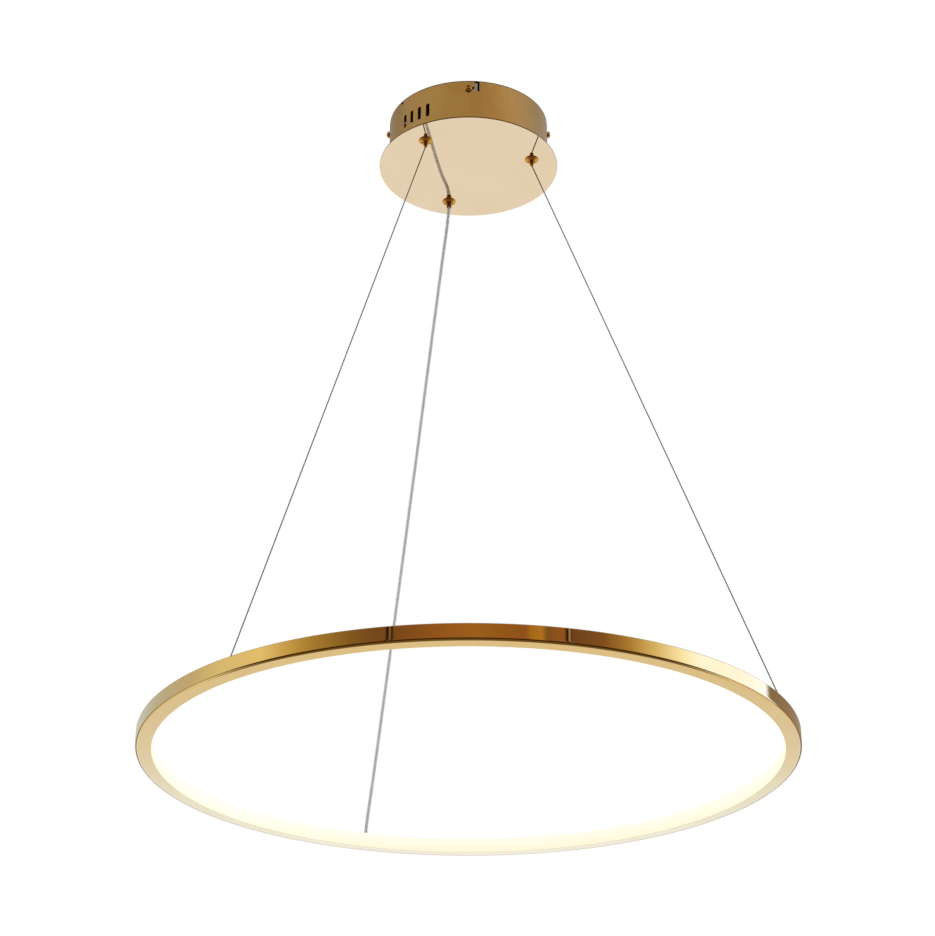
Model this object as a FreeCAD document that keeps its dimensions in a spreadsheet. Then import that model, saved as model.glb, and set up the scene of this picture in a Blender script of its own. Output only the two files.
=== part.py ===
import FreeCAD, Part
import math
import os
import re
import Sketcher

# LED ring chandelier: a gold ring that shines inward, hung on two steel wires and one
# clear power cord from a round ceiling canopy.
# Millimetres, +Z up. The origin is the middle of the ceiling bracket's top face, so the
# whole lamp is below z = 0. Azimuths are degrees from +X, turning towards +Y.

V = FreeCAD.Vector
Z_UP = V(0, 0, 1)

# name, number, what it is
SIZES = [
    ("ring_radius", 300.0, "outer radius of the light ring"),
    ("ring_width", 14.4, "radial width of the ring's section"),
    ("ring_height", 14.4, "height of the ring's section"),
    ("ring_wall", 1.2, "wall of the ring's channel"),
    ("diffuser_depth", 3.6, "radial depth of the opal silicone diffuser"),
    ("diffuser_gap", 0.15, "play between diffuser and channel"),
    ("strip_width", 8.0, "width of the lamp strip's board"),
    ("strip_thickness", 0.3, "thickness of the lamp strip's board"),
    ("glue_gap", 0.05, "film of glue or thread play between seated pieces"),
    ("chip_count", 60, "seats for light chips round the ring"),
    ("joint_azimuth", 48.5, "where the ring's channel is joined"),
    ("joint_span", 8.0, "arc of the joint plate, in degrees"),
    ("joint_width", 5.6, "radial width of the joint plate"),
    ("joint_plate_thickness", 1.6, "thickness of the joint plate"),
    ("suspension_drop", 638.6, "from the canopy plate's face down to the ring's bottom"),
    ("left_azimuth", 229.5, "where the left wire leaves the canopy"),
    ("right_azimuth", 346.0, "where the right wire leaves the canopy"),
    ("rear_azimuth", 108.0, "where the power cord leaves the canopy"),
    ("left_foot_azimuth", 227.5, "where the left wire meets the ring"),
    ("right_foot_azimuth", 346.5, "where the right wire meets the ring"),
    ("rear_foot_azimuth", 110.9, "where the power cord meets the ring"),
    ("wire_radius", 0.6, "steel suspension wire"),
    ("cord_radius", 1.85, "radius of the clear power cord"),
    ("cord_exit", 8.0, "upright length of the power cord under its nozzle"),
    ("cord_entry", 7.0, "upright length of the power cord over its bush"),
    ("cord_bow_azimuth", 94.0, "side to which the power cord bows"),
    ("cord_play", 0.2, "radial play of a wire or cord in what it passes through"),
    ("wire_hole_play", 0.6, "radial play of a slanting wire in the ring's hole"),
    ("bush_wall", 0.8, "wall of the cord's bush"),
    ("bush_brim", 1.0, "how far the bush's head stands out of its sleeve"),
    ("bush_head_height", 0.8, "height of the bush's head over the ring"),
    ("bush_depth", 1.2, "how far the bush reaches under the ring's top wall"),
    ("ferrule_radius", 1.6, "crimped ferrule on a wire's lower end"),
    ("ferrule_length", 4.0, "length of the crimped ferrule"),
    ("canopy_radius", 81.4, "outer radius of the canopy's drum"),
    ("canopy_height", 50.4, "from the ceiling to the canopy plate's face"),
    ("canopy_wall", 0.9, "sheet of the canopy's drum"),
    ("plate_overhang", 9.8, "how far the polished plate stands out of the drum"),
    ("plate_thickness", 1.2, "thickness of the canopy plate"),
    ("vent_width", 4.2, "width of a vent slot"),
    ("vent_height", 15.5, "length of a vent slot"),
    ("vent_bevel", 1.2, "bevel of a vent slot's corners"),
    ("vent_drop", 27.0, "from the drum's top edge to the middle of the vents"),
    ("vent_azimuth", 218.1, "first vent slot of the front group"),
    ("vent_pitch", 7.2, "angle between vent slots"),
    ("vent_count", 4, "vent slots in a group"),
    ("notch_azimuth", 214.3, "small locating notch in the drum's top edge"),
    ("notch_width", 3.0, "width of the locating notch"),
    ("notch_depth", 3.6, "depth of the locating notch"),
    ("screw_drop", 9.3, "from the ceiling to the side screws"),
    ("screw_radius", 1.95, "shank of the side screws"),
    ("screw_count", 4, "side screws round the drum"),
    ("screw_head_radius", 3.6, "head of the side screws"),
    ("screw_head_height", 3.0, "height of the side screws' heads"),
    ("screw_tail", 3.0, "thread that shows inside the bracket's tab"),
    ("slot_play", 0.55, "play of the side screws in the drum's slots"),
    ("turn_angle", 6.0, "turn from the slot's closed end to its way out, in degrees"),
    ("moving_gap", 0.3, "play between pieces that move past each other"),
    ("bracket_sheet", 1.5, "sheet of the ceiling bracket"),
    ("bracket_arm", 18.0, "width of the bracket's arms"),
    ("bracket_gap", 1.4, "from the bracket's tabs to the drum's inside"),
    ("bracket_web", 9.0, "web in the corners between the bracket's arms"),
    ("bracket_bend", 1.0, "bevel where a tab is bent down"),
    ("tab_length", 17.0, "from the ceiling to the lower edge of a tab"),
    ("entry_radius", 8.0, "hole for the supply cable"),
    ("fixing_spacing", 80.0, "between the ceiling screws' slots"),
    ("fixing_length", 20.0, "length of a ceiling screw's slot"),
    ("fixing_radius", 2.6, "half the width of a ceiling screw's slot"),
    ("terminal_offset", 38.0, "from the middle to the terminal block"),
    ("terminal_length", 30.0, "terminal block along its row of poles"),
    ("terminal_width", 16.0, "terminal block along its wire holes"),
    ("terminal_height", 14.0, "height of the terminal block"),
    ("terminal_pitch", 9.0, "between the poles"),
    ("terminal_mouth", 4.0, "width and height of a pole's wire opening"),
    ("gripper_setback", 14.0, "from the drum's inside to a gripper's axis"),
    ("gripper_flange", 7.0, "radius of a gripper's flange"),
    ("gripper_rim", 0.9, "thickness of the flange's rim"),
    ("gripper_dish", 2.1, "depth of the flange's shallow dish"),
    ("gripper_waist", 4.4, "radius at the foot of the shallow dish"),
    ("gripper_nose_depth", 5.2, "depth of the nose under the plate"),
    ("gripper_nose_wall", 0.75, "wall of a gripper's nose"),
    ("gripper_stem", 4.9, "radius of a gripper's threaded stem"),
    ("gripper_stem_height", 8.0, "height of the stem over the plate's face"),
    ("gripper_cone_start", 1.5, "height where the jaw cone starts"),
    ("gripper_cone_angle", 8.0, "slope of the jaw cone, in degrees"),
    ("cap_nut_flats", 13.0, "across flats of the cap nut that clamps the plate"),
    ("cap_nut_height", 14.0, "top of the cap nut over the plate's face"),
    ("cap_nut_roof", 2.0, "thickness of the cap nut's roof"),
    ("nozzle_tip", 7.4, "depth of the release nozzle's mouth under the plate"),
    ("nozzle_height", 6.0, "top of the release nozzle over the plate's face"),
    ("nozzle_play", 0.1, "running play of a nozzle in its gripper"),
    ("wire_nozzle_radius", 2.15, "release nozzle of a wire gripper"),
    ("cord_nozzle_radius", 2.75, "release nozzle of the cord gripper"),
    ("spring_wire", 0.5, "thickness of the spring's wire"),
    ("spring_turns", 4, "turns of a gripper's spring"),
    ("spring_sides", 6, "straight runs in a turn of the spring"),
    ("tail_height", 26.0, "height of a wire's end over the plate's face"),
    ("driver_length", 96.0, "lamp driver's case"),
    ("driver_width", 36.0, "width of the driver's case"),
    ("driver_base_height", 9.0, "height of the driver's base"),
    ("driver_cover_height", 12.0, "height of the driver's cover"),
    ("driver_wall", 1.6, "wall of the driver's case"),
    ("driver_pad_thickness", 1.0, "foam pad under the driver"),
    ("driver_pad_inset", 3.0, "from the case's edge to the pad's edge"),
    ("board_thickness", 1.6, "driver's circuit board"),
    ("board_lift", 3.0, "from the driver's floor to its board"),
    ("board_play", 0.8, "play round the driver's board"),
    ("transformer_length", 18.0, "driver's transformer"),
    ("transformer_width", 16.0, "width of the transformer"),
    ("transformer_height", 11.0, "height of the transformer"),
    ("capacitor_length", 12.0, "driver's film capacitors"),
    ("capacitor_width", 6.0, "width of the film capacitors"),
    ("capacitor_height", 10.0, "height of the film capacitors"),
    ("component_spread", 26.0, "from the transformer to the capacitors"),
]

# The stiff power cord hangs in a bow. Each pair is a share of the way down from its nozzle
# to its bush, and how far the cord's control point there stands out of the straight line.
CORD_BOWS = [(0.10, 30.0), (0.45, 88.0), (0.90, 21.0)]
ARC_SHARE = 0.45

doc = FreeCAD.newDocument("RingChandelier")
sheet = doc.addObject("Spreadsheet::Sheet", "Sizes")
for row, (alias, number, meaning) in enumerate(SIZES, 1):
    sheet.set(f"A{row}", alias)
    sheet.set(f"B{row}", str(number))
    sheet.set(f"C{row}", meaning)
    sheet.setAlias(f"B{row}", alias)
doc.recompute()

# Levels that several pieces share, as expressions of the sheet's names.
PLATE_FACE = "(-canopy_height)"
PLATE_TOP = "(plate_thickness - canopy_height)"
RING_FOOT = "(-canopy_height - suspension_drop)"
RING_TOP = "(ring_height - canopy_height - suspension_drop)"
ROOF = "(ring_height - ring_wall)"
ANCHOR_CIRCLE = "(ring_radius - ring_width / 2)"
GRIPPER_CIRCLE = "(canopy_radius - canopy_wall - gripper_setback)"
PLATE_RADIUS = "(canopy_radius + plate_overhang)"
FLOOR_TOP = "(plate_thickness + canopy_wall - canopy_height)"
BUSH_TOP = f"({RING_TOP} + bush_head_height)"
NOZZLE_MOUTH = "(-canopy_height - nozzle_tip)"
TAB_OUTSIDE = "(canopy_radius - canopy_wall - bracket_gap)"
DRIVER_FLOOR = f"({FLOOR_TOP} + driver_pad_thickness)"
BOARD_FOOT = f"({DRIVER_FLOOR} + driver_wall + board_lift)"
BOARD_TOP = f"({BOARD_FOOT} + board_thickness)"

parts = {}


def bound(text):
    """The expression with every size name pointed at the sheet."""
    return re.sub(r"\b([a-z]+(?:_[a-z]+)+)\b", r"Sizes.\1", text)


def value(text):
    """The number that an expression of size names gives."""
    return float(sheet.evalExpression(text))


def origin_feature(body, role):
    return next(item for item in body.Origin.OriginFeatures if item.Role == role)


def new_body(label, x="0", y="0", z="0", turn="0"):
    """A body whose place is bound to the sheet, turned about its own upright axis."""
    body = doc.addObject("PartDesign::Body", label)
    body.Label = label
    body.Placement = FreeCAD.Placement(V(), FreeCAD.Rotation(Z_UP, 1.0))
    for axis, text in (("x", x), ("y", y), ("z", z)):
        body.setExpression(f"Placement.Base.{axis}", bound(text))
    body.setExpression("Placement.Rotation.Angle", bound(turn))
    parts[label] = body
    return body


def new_sketch(body, name, role="XZ_Plane", lift="0"):
    sketch = body.newObject("Sketcher::SketchObject", f"{body.Label}_{name}")
    sketch.AttachmentSupport = [(origin_feature(body, role), "")]
    sketch.MapMode = "FlatFace"
    if lift != "0":
        sketch.setExpression("AttachmentOffset.Base.z", bound(lift))
    return sketch


def pin_point(sketch, geometry, end, x, y):
    """Hold one point of the sketch at x, y, both expressions of the sheet."""
    for kind, axis, text in (("DistanceX", -2, x), ("DistanceY", -1, y)):
        if text == "0":
            sketch.addConstraint(Sketcher.Constraint("PointOnObject", geometry, end, axis))
            continue
        index = sketch.addConstraint(Sketcher.Constraint(kind, geometry, end, value(text)))
        sketch.setExpression(f"Constraints[{index}]", bound(text))


def outline(sketch, corners):
    """A closed outline, anticlockwise. A corner marked round starts a half circle."""
    points = [V(value(corner[0]), value(corner[1]), 0) for corner in corners]
    first = sketch.GeometryCount
    count = len(points)
    for index, corner in enumerate(corners):
        start = points[index]
        end = points[(index + 1) % count]
        if len(corner) > 2:
            centre = (start + end) * 0.5
            angle = math.atan2(start.y - centre.y, start.x - centre.x)
            ring = Part.Circle(centre, Z_UP, (start - centre).Length)
            sketch.addGeometry(Part.ArcOfCircle(ring, angle, angle + math.pi), False)
        else:
            sketch.addGeometry(Part.LineSegment(start, end), False)
    for index, corner in enumerate(corners):
        here = first + index
        before = first + (index - 1) % count
        joint = "Tangent" if len(corner) > 2 else "Coincident"
        sketch.addConstraint(Sketcher.Constraint(joint, before, 2, here, 1))
        pin_point(sketch, here, 1, corner[0], corner[1])


def circle(sketch, x, y, radius):
    ring = Part.Circle(V(value(x), value(y), 0), Z_UP, value(radius))
    geometry = sketch.addGeometry(ring, False)
    pin_point(sketch, geometry, 3, x, y)
    index = sketch.addConstraint(Sketcher.Constraint("Radius", geometry, value(radius)))
    sketch.setExpression(f"Constraints[{index}]", bound(radius))


def revolve(body, name, corners, axis="V_Axis"):
    """Turn an outline drawn as (radius, height) about the body's upright axis."""
    sketch = new_sketch(body, f"{name}_section")
    outline(sketch, corners)
    feature = body.newObject("PartDesign::Revolution", f"{body.Label}_{name}")
    feature.Profile = sketch
    feature.ReferenceAxis = (sketch, [axis])
    feature.Angle = 360.0
    return feature


def extrude(body, kind, name, sketch, length, backwards=False, midplane=False):
    feature = body.newObject(f"PartDesign::{kind}", f"{body.Label}_{name}")
    feature.Profile = sketch
    feature.setExpression("Length", bound(length))
    feature.Reversed = backwards
    feature.Midplane = midplane
    return feature


def polar(body, name, features, count, span="360"):
    pattern = body.newObject("PartDesign::PolarPattern", f"{body.Label}_{name}")
    pattern.Originals = features
    pattern.Axis = (origin_feature(body, "Z_Axis"), [""])
    pattern.setExpression("Angle", bound(span))
    pattern.setExpression("Occurrences", bound(count))
    body.Tip = pattern
    return pattern


def join(label, members):
    """Several bodies of one kind kept as one part."""
    group = doc.addObject("Part::Compound", label)
    group.Links = members
    for member in members:
        del parts[member.Label]
    parts[label] = group


def polar_place(circle_radius, azimuth):
    return f"{circle_radius} * cos({azimuth})", f"{circle_radius} * sin({azimuth})"


def primitive(kind, name, placed_at=(0, 0, 0), **sizes):
    """A Part primitive whose sizes and place are bound to the sheet."""
    item = doc.addObject(f"Part::{kind}", name)
    for key, text in sizes.items():
        item.setExpression(key, bound(text))
    for axis, text in zip("xyz", placed_at):
        item.setExpression(f"Placement.Base.{axis}", bound(str(text)))
    return item


def centred_box(name, length, width, height, x="0", y="0", z="0"):
    place = (f"{x} - ({length}) / 2", f"{y} - ({width}) / 2", z)
    return primitive("Box", name, place, Length=length, Width=width, Height=height)


def hexagon(sketch, flats):
    """A hexagon about the sketch's middle, two of its corners on the X axis."""
    corners = []
    for side in range(6):
        reach = f"{flats} / sqrt(3)"
        corners.append((f"{reach} * cos({60 * side})", f"{reach} * sin({60 * side})"))
    corners[0] = (f"{flats} / sqrt(3)", "0")
    corners[3] = (f"-{flats} / sqrt(3)", "0")
    outline(sketch, corners)


# ---------------------------------------------------------------- ceiling bracket

def make_bracket():
    """Cross of folded sheet: four arms with tabs bent down for the side screws."""
    body = new_body("ceiling_bracket")
    inner = f"({TAB_OUTSIDE} - bracket_sheet)"
    section = new_sketch(body, "section")
    outline(section, [
        ("0", "-bracket_sheet"), (inner, "-bracket_sheet"), (inner, "-tab_length"),
        (TAB_OUTSIDE, "-tab_length"), (TAB_OUTSIDE, "-bracket_bend"),
        (f"{TAB_OUTSIDE} - bracket_bend", "0"), ("0", "0"),
    ])
    arm = extrude(body, "Pad", "arm", section, "bracket_arm", midplane=True)
    thread = new_sketch(body, "thread", "YZ_Plane")
    circle(thread, "0", "-screw_drop", "screw_radius + glue_gap")
    hole = extrude(body, "Pocket", "thread_hole", thread, "canopy_radius", backwards=True)
    polar(body, "arms", [arm, hole], "screw_count")
    web = "(bracket_arm + bracket_web)"
    hub = new_sketch(body, "hub", "XY_Plane")
    outline(hub, [(web, "0"), ("0", web), (f"-{web}", "0"), ("0", f"-{web}")])
    extrude(body, "Pad", "hub_pad", hub, "bracket_sheet", backwards=True)
    openings = new_sketch(body, "openings", "XY_Plane")
    circle(openings, "0", "0", "entry_radius")
    reach = "(fixing_length / 2 - fixing_radius)"
    for sign in ("", "-"):
        middle = f"{sign}fixing_spacing / 2"
        outline(openings, [
            (f"{middle} - {reach}", "-fixing_radius"),
            (f"{middle} + {reach}", "-fixing_radius", "round"),
            (f"{middle} + {reach}", "fixing_radius"),
            (f"{middle} - {reach}", "fixing_radius", "round"),
        ])
    extrude(body, "Pocket", "openings_cut", openings, "bracket_sheet")


def make_side_screws():
    """Screws that pass the drum's slots and thread into the bracket's tabs."""
    body = new_body("side_screws", z="-screw_drop")
    start = f"({TAB_OUTSIDE} - bracket_sheet - screw_tail)"
    neck = "(canopy_radius + moving_gap)"
    sketch = new_sketch(body, "section")
    outline(sketch, [
        (start, "0"), (f"{neck} + screw_head_height", "0"),
        (f"{neck} + screw_head_height", "screw_head_radius"),
        (neck, "screw_head_radius"), (neck, "screw_radius"), (start, "screw_radius"),
    ])
    screw = body.newObject("PartDesign::Revolution", "side_screws_turned")
    screw.Profile = sketch
    screw.ReferenceAxis = (sketch, ["H_Axis"])
    screw.Angle = 360.0
    polar(body, "set", [screw], "screw_count")


def make_terminal_block():
    """Three-pole terminal block under the bracket, its wire openings along Y."""
    body = new_body("terminal_block", y="terminal_offset", z="-bracket_sheet")
    sketch = new_sketch(body, "block", "XZ_Plane")
    outline(sketch, [
        ("-terminal_length / 2", "-terminal_height"), ("terminal_length / 2", "-terminal_height"),
        ("terminal_length / 2", "0"), ("-terminal_length / 2", "0"),
    ])
    low = "-(terminal_height + terminal_mouth) / 2"
    high = "-(terminal_height - terminal_mouth) / 2"
    for pole in (-1, 0, 1):
        left = f"{pole} * terminal_pitch - terminal_mouth / 2"
        right = f"{pole} * terminal_pitch + terminal_mouth / 2"
        outline(sketch, [(left, low), (right, low), (right, high), (left, high)])
    extrude(body, "Pad", "block_pad", sketch, "terminal_width", midplane=True)


# ---------------------------------------------------------------- canopy

def gripper_holes(body, level, depth):
    """Three holes for the grippers' stems, cut upwards from a level."""
    sketch = new_sketch(body, "gripper_holes", "XY_Plane", level)
    for azimuth in ("left_azimuth", "right_azimuth", "rear_azimuth"):
        circle(sketch, *polar_place(GRIPPER_CIRCLE, azimuth), "gripper_stem + glue_gap")
    extrude(body, "Pocket", "gripper_holes_cut", sketch, depth, backwards=True)


def turned_sketch(body, name, angle):
    """A sketch on the upright plane that is turned to face an azimuth."""
    sketch = new_sketch(body, name)
    sketch.AttachmentOffset = FreeCAD.Placement(V(), FreeCAD.Rotation(V(0, 1, 0), 1.0))
    sketch.setExpression("AttachmentOffset.Rotation.Angle", bound(f"{angle} + 90"))
    return sketch


def make_housing():
    """Drum of the canopy, open at the ceiling, with vents and the side screws' slots."""
    body = new_body("canopy_housing")
    inside = "canopy_radius - canopy_wall"
    revolve(body, "drum", [
        ("0", PLATE_TOP), ("canopy_radius", PLATE_TOP), ("canopy_radius", "0"),
        (inside, "0"), (inside, FLOOR_TOP), ("0", FLOOR_TOP),
    ])
    gripper_holes(body, PLATE_TOP, "canopy_wall")
    reach = "canopy_radius + canopy_wall"
    above = "canopy_wall"
    # The slot runs level from the screw's seat to a way out through the top edge.
    half = "(screw_radius + slot_play)"
    out = "(canopy_radius * sin(turn_angle))"
    sketch = new_sketch(body, "slot")
    outline(sketch, [
        (f"-{half}", f"-screw_drop - {half}"), (f"{out} + {half}", f"-screw_drop - {half}"),
        (f"{out} + {half}", above), (f"{out} - {half}", above),
        (f"{out} - {half}", f"-screw_drop + {half}"), (f"-{half}", f"-screw_drop + {half}"),
    ])
    slot = extrude(body, "Pocket", "slot_cut", sketch, reach, backwards=True)
    polar(body, "slots", [slot], "screw_count")
    for group, angle in (("front", "vent_azimuth"), ("back", "vent_azimuth + 180")):
        sketch = turned_sketch(body, f"vent_{group}", angle)
        outline(sketch, vent_corners())
        vent = extrude(body, "Pocket", f"vent_cut_{group}", sketch, reach, backwards=True)
        polar(body, f"vents_{group}", [vent], "vent_count", "vent_pitch * (vent_count - 1)")
    sketch = turned_sketch(body, "notch", "notch_azimuth")
    outline(sketch, [
        ("-notch_width / 2", "-notch_depth"), ("notch_width / 2", "-notch_depth"),
        ("notch_width / 2", above), ("-notch_width / 2", above),
    ])
    extrude(body, "Pocket", "notch_cut", sketch, reach, backwards=True)


def vent_corners():
    """An upright slot with its four corners bevelled, anticlockwise."""
    wide = "vent_width / 2"
    narrow = "(vent_width / 2 - vent_bevel)"
    tall = "vent_height / 2"
    short = "(vent_height / 2 - vent_bevel)"
    steps = [
        (f"-{narrow}", f"-{tall}"), (narrow, f"-{tall}"), (wide, f"-{short}"), (wide, short),
        (narrow, tall), (f"-{narrow}", tall), (f"-{wide}", short), (f"-{wide}", f"-{short}"),
    ]
    return [(x, f"-vent_drop + {y}".replace("+ -", "- ")) for x, y in steps]


def make_plate():
    """Polished plate, clamped under the drum's floor by the grippers."""
    body = new_body("canopy_plate")
    revolve(body, "disc", [
        ("0", PLATE_FACE), (PLATE_RADIUS, PLATE_FACE),
        (PLATE_RADIUS, PLATE_TOP), ("0", PLATE_TOP),
    ])
    gripper_holes(body, PLATE_FACE, "plate_thickness")


def make_driver():
    """Lamp driver on a foam pad: two-part case, board, transformer and capacitors."""
    inset = "2 * driver_pad_inset"
    pad = centred_box("driver_pad", f"driver_length - {inset}", f"driver_width - {inset}",
                      "driver_pad_thickness", z=FLOOR_TOP)
    parts["driver_pad"] = pad
    shells = (
        ("driver_base", "driver_base_height", DRIVER_FLOOR, f"{DRIVER_FLOOR} + driver_wall"),
        ("driver_cover", "driver_cover_height", f"{DRIVER_FLOOR} + driver_base_height",
         f"{DRIVER_FLOOR} + driver_base_height"),
    )
    wall = "2 * driver_wall"
    for label, height, foot, hollow_foot in shells:
        blank = centred_box(f"{label}_blank", "driver_length", "driver_width", height, z=foot)
        hollow = centred_box(f"{label}_hollow", f"driver_length - {wall}",
                             f"driver_width - {wall}", f"{height} - driver_wall",
                             z=hollow_foot)
        shell = doc.addObject("Part::Cut", label)
        shell.Base = blank
        shell.Tool = hollow
        parts[label] = shell
    room = "2 * (driver_wall + board_play)"
    board = centred_box("driver_board", f"driver_length - {room}", f"driver_width - {room}",
                        "board_thickness", z=BOARD_FOOT)
    parts["driver_board"] = board
    core = centred_box("driver_transformer", "transformer_length", "transformer_width",
                       "transformer_height", z=BOARD_TOP)
    parts["driver_transformer"] = core
    cans = []
    for side, place in (("left", "-component_spread"), ("right", "component_spread")):
        cans.append(centred_box(f"capacitor_{side}", "capacitor_length", "capacitor_width",
                                "capacitor_height", x=place, z=BOARD_TOP))
    group = doc.addObject("Part::Compound", "driver_capacitors")
    group.Links = cans
    parts["driver_capacitors"] = group


# ---------------------------------------------------------------- grippers

def make_gripper(side, line_radius, nozzle_radius):
    """One gripper: turned body with a jaw cone, cap nut, sprung release nozzle."""
    azimuth = f"{side}_azimuth"
    x, y = polar_place(GRIPPER_CIRCLE, azimuth)
    place = {"x": x, "y": y, "z": PLATE_FACE, "turn": azimuth}
    bore = f"({nozzle_radius} + nozzle_play)"
    nose = f"({bore} + gripper_nose_wall)"
    cone_height = "(gripper_stem_height - gripper_cone_start)"
    mouth = f"({bore} + {cone_height} * tan(gripper_cone_angle))"
    passage = f"({line_radius} + cord_play)"
    roof = "(cap_nut_height - cap_nut_roof)"

    body = new_body(f"gripper_body_{side}", **place)
    revolve(body, "turned", [
        (bore, "-gripper_nose_depth"), (nose, "-gripper_nose_depth"),
        ("gripper_waist", "-gripper_dish"), ("gripper_flange", "-gripper_rim"),
        ("gripper_flange", "0"), ("gripper_stem", "0"),
        ("gripper_stem", "gripper_stem_height"), (mouth, "gripper_stem_height"),
        (bore, "gripper_cone_start"),
    ])

    nut = new_body(f"cap_nut_{side}", **place)
    foot = "(plate_thickness + canopy_wall)"
    blank = new_sketch(nut, "hexagon", "XY_Plane", foot)
    hexagon(blank, "cap_nut_flats")
    extrude(nut, "Pad", "hexagon_pad", blank, f"cap_nut_height - {foot}")
    well = new_sketch(nut, "well", "XY_Plane", foot)
    circle(well, "0", "0", "gripper_stem + glue_gap")
    extrude(nut, "Pocket", "well_cut", well, f"{roof} - {foot}", backwards=True)
    outlet = new_sketch(nut, "outlet", "XY_Plane", roof)
    circle(outlet, "0", "0", passage)
    extrude(nut, "Pocket", "outlet_cut", outlet, "cap_nut_roof", backwards=True)

    nozzle = new_body(f"release_nozzle_{side}", **place)
    revolve(nozzle, "turned", [
        (passage, "-nozzle_tip"), (nozzle_radius, "-nozzle_tip"),
        (nozzle_radius, "nozzle_height"), (passage, "nozzle_height"),
    ])
    make_spring(side, nozzle_radius, roof)
    return body, nut


def make_spring(side, nozzle_radius, roof):
    """Coil between nozzle and cap nut, bent in straight runs from square wire."""
    half = value("spring_wire") / 2
    radius = value(nozzle_radius) - half
    foot = value("nozzle_height") + half
    height = value(roof) - half - foot
    sides = int(value("spring_sides"))
    steps = sides * int(value("spring_turns"))
    sections = []
    for step in range(steps + 1):
        angle = 360.0 * step / sides
        level = foot + height * step / steps
        low, high = level - half, level + half
        sections.append(Part.makePolygon([
            radial_point(radius - half, angle, low), radial_point(radius + half, angle, low),
            radial_point(radius + half, angle, high), radial_point(radius - half, angle, high),
            radial_point(radius - half, angle, low)]))
    spring = doc.addObject("Part::Feature", f"gripper_spring_{side}")
    spring.Shape = Part.makeLoft(sections, True, True)
    x, y = polar_place(GRIPPER_CIRCLE, f"{side}_azimuth")
    spring.Placement.Base = V(value(x), value(y), value(PLATE_FACE))
    parts[spring.Label] = spring


def make_tail(side):
    """The wire's end: up through the gripper into the canopy."""
    x, y = polar_place(GRIPPER_CIRCLE, f"{side}_azimuth")
    tail = new_body(f"wire_tail_{side}", x=x, y=y, z=PLATE_FACE)
    foot = "(-nozzle_tip + wire_radius / 2)"
    revolve(tail, "wire", [
        ("0", foot), ("wire_radius", foot),
        ("wire_radius", "tail_height"), ("0", "tail_height"),
    ])


# ---------------------------------------------------------------- ring

def make_ring_profile():
    """Channel of the ring, open inward, with the holes for the wires and the cord."""
    body = new_body("ring_profile", z=RING_FOOT)
    inner = "(ring_radius - ring_width)"
    back = "(ring_radius - ring_wall)"
    revolve(body, "channel", [
        (inner, "0"), ("ring_radius", "0"), ("ring_radius", "ring_height"),
        (inner, "ring_height"), (inner, ROOF), (back, ROOF),
        (back, "ring_wall"), (inner, "ring_wall"),
    ])
    holes = new_sketch(body, "line_holes", "XY_Plane", ROOF)
    for azimuth in ("left_foot_azimuth", "right_foot_azimuth"):
        circle(holes, *polar_place(ANCHOR_CIRCLE, azimuth), "wire_radius + wire_hole_play")
    circle(holes, *polar_place(ANCHOR_CIRCLE, "rear_foot_azimuth"),
           "cord_radius + bush_wall + glue_gap")
    extrude(body, "Pocket", "line_holes_cut", holes, "ring_wall", backwards=True)


def make_diffuser():
    """Opal silicone strip pressed between the channel's two flanges."""
    body = new_body("ring_diffuser", z=RING_FOOT)
    face = "(ring_radius - ring_width + diffuser_gap)"
    back = f"({face} + diffuser_depth)"
    low = "(ring_wall + diffuser_gap)"
    high = f"({ROOF} - diffuser_gap)"
    revolve(body, "strip", [(face, low), (back, low), (back, high), (face, high)])


def ring_polygon(reach, count, height):
    """A closed polygon about the upright axis, its corners at this reach."""
    corners = []
    for index in range(count + 1):
        turn = 2 * math.pi * (index % count) / count
        corners.append(V(reach * math.cos(turn), reach * math.sin(turn), height))
    return Part.Face(Part.makePolygon(corners))


def make_lamp_strip():
    """Flexible board inside the ring's outer wall, flat where each light chip sits."""
    count = int(value("chip_count"))
    half_step = math.pi / count
    reach = value("ring_radius - ring_wall - glue_gap")
    inner_reach = reach - value("strip_thickness") / math.cos(half_step)
    low = value(f"{RING_FOOT} + ring_height / 2 - strip_width / 2")
    width = value("strip_width")
    band = ring_polygon(reach, count, low).extrude(V(0, 0, width))
    room = ring_polygon(inner_reach, count, low).extrude(V(0, 0, width))
    strip = doc.addObject("Part::Feature", "lamp_strip")
    strip.Shape = band.cut(room)
    parts["lamp_strip"] = strip


def make_ring_joint():
    """Curved bar glued under the channel's roof, across the channel's joint."""
    body = new_body("ring_joint_plate", z=RING_FOOT, turn="joint_azimuth")
    inner = f"({ANCHOR_CIRCLE} - joint_width / 2)"
    outer = f"({ANCHOR_CIRCLE} + joint_width / 2)"
    roof = f"({ROOF} - glue_gap)"
    foot = f"({roof} - joint_plate_thickness)"
    bar = revolve(body, "arc", [(inner, foot), (outer, foot), (outer, roof), (inner, roof)])
    bar.Midplane = True
    bar.setExpression("Angle", bound("joint_span"))


def make_bush():
    """Bush in the ring's top wall, moulded on the end of the power cord."""
    x, y = polar_place(ANCHOR_CIRCLE, "rear_foot_azimuth")
    bush = new_body("cord_bush_rear", x=x, y=y, z=RING_TOP)
    sleeve = "(cord_radius + bush_wall)"
    foot = "(-ring_wall - bush_depth)"
    revolve(bush, "turned", [
        ("0", foot), (sleeve, foot), (sleeve, "0"), (f"{sleeve} + bush_brim", "0"),
        (f"{sleeve} + bush_brim", "bush_head_height"), ("0", "bush_head_height"),
    ])


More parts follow.
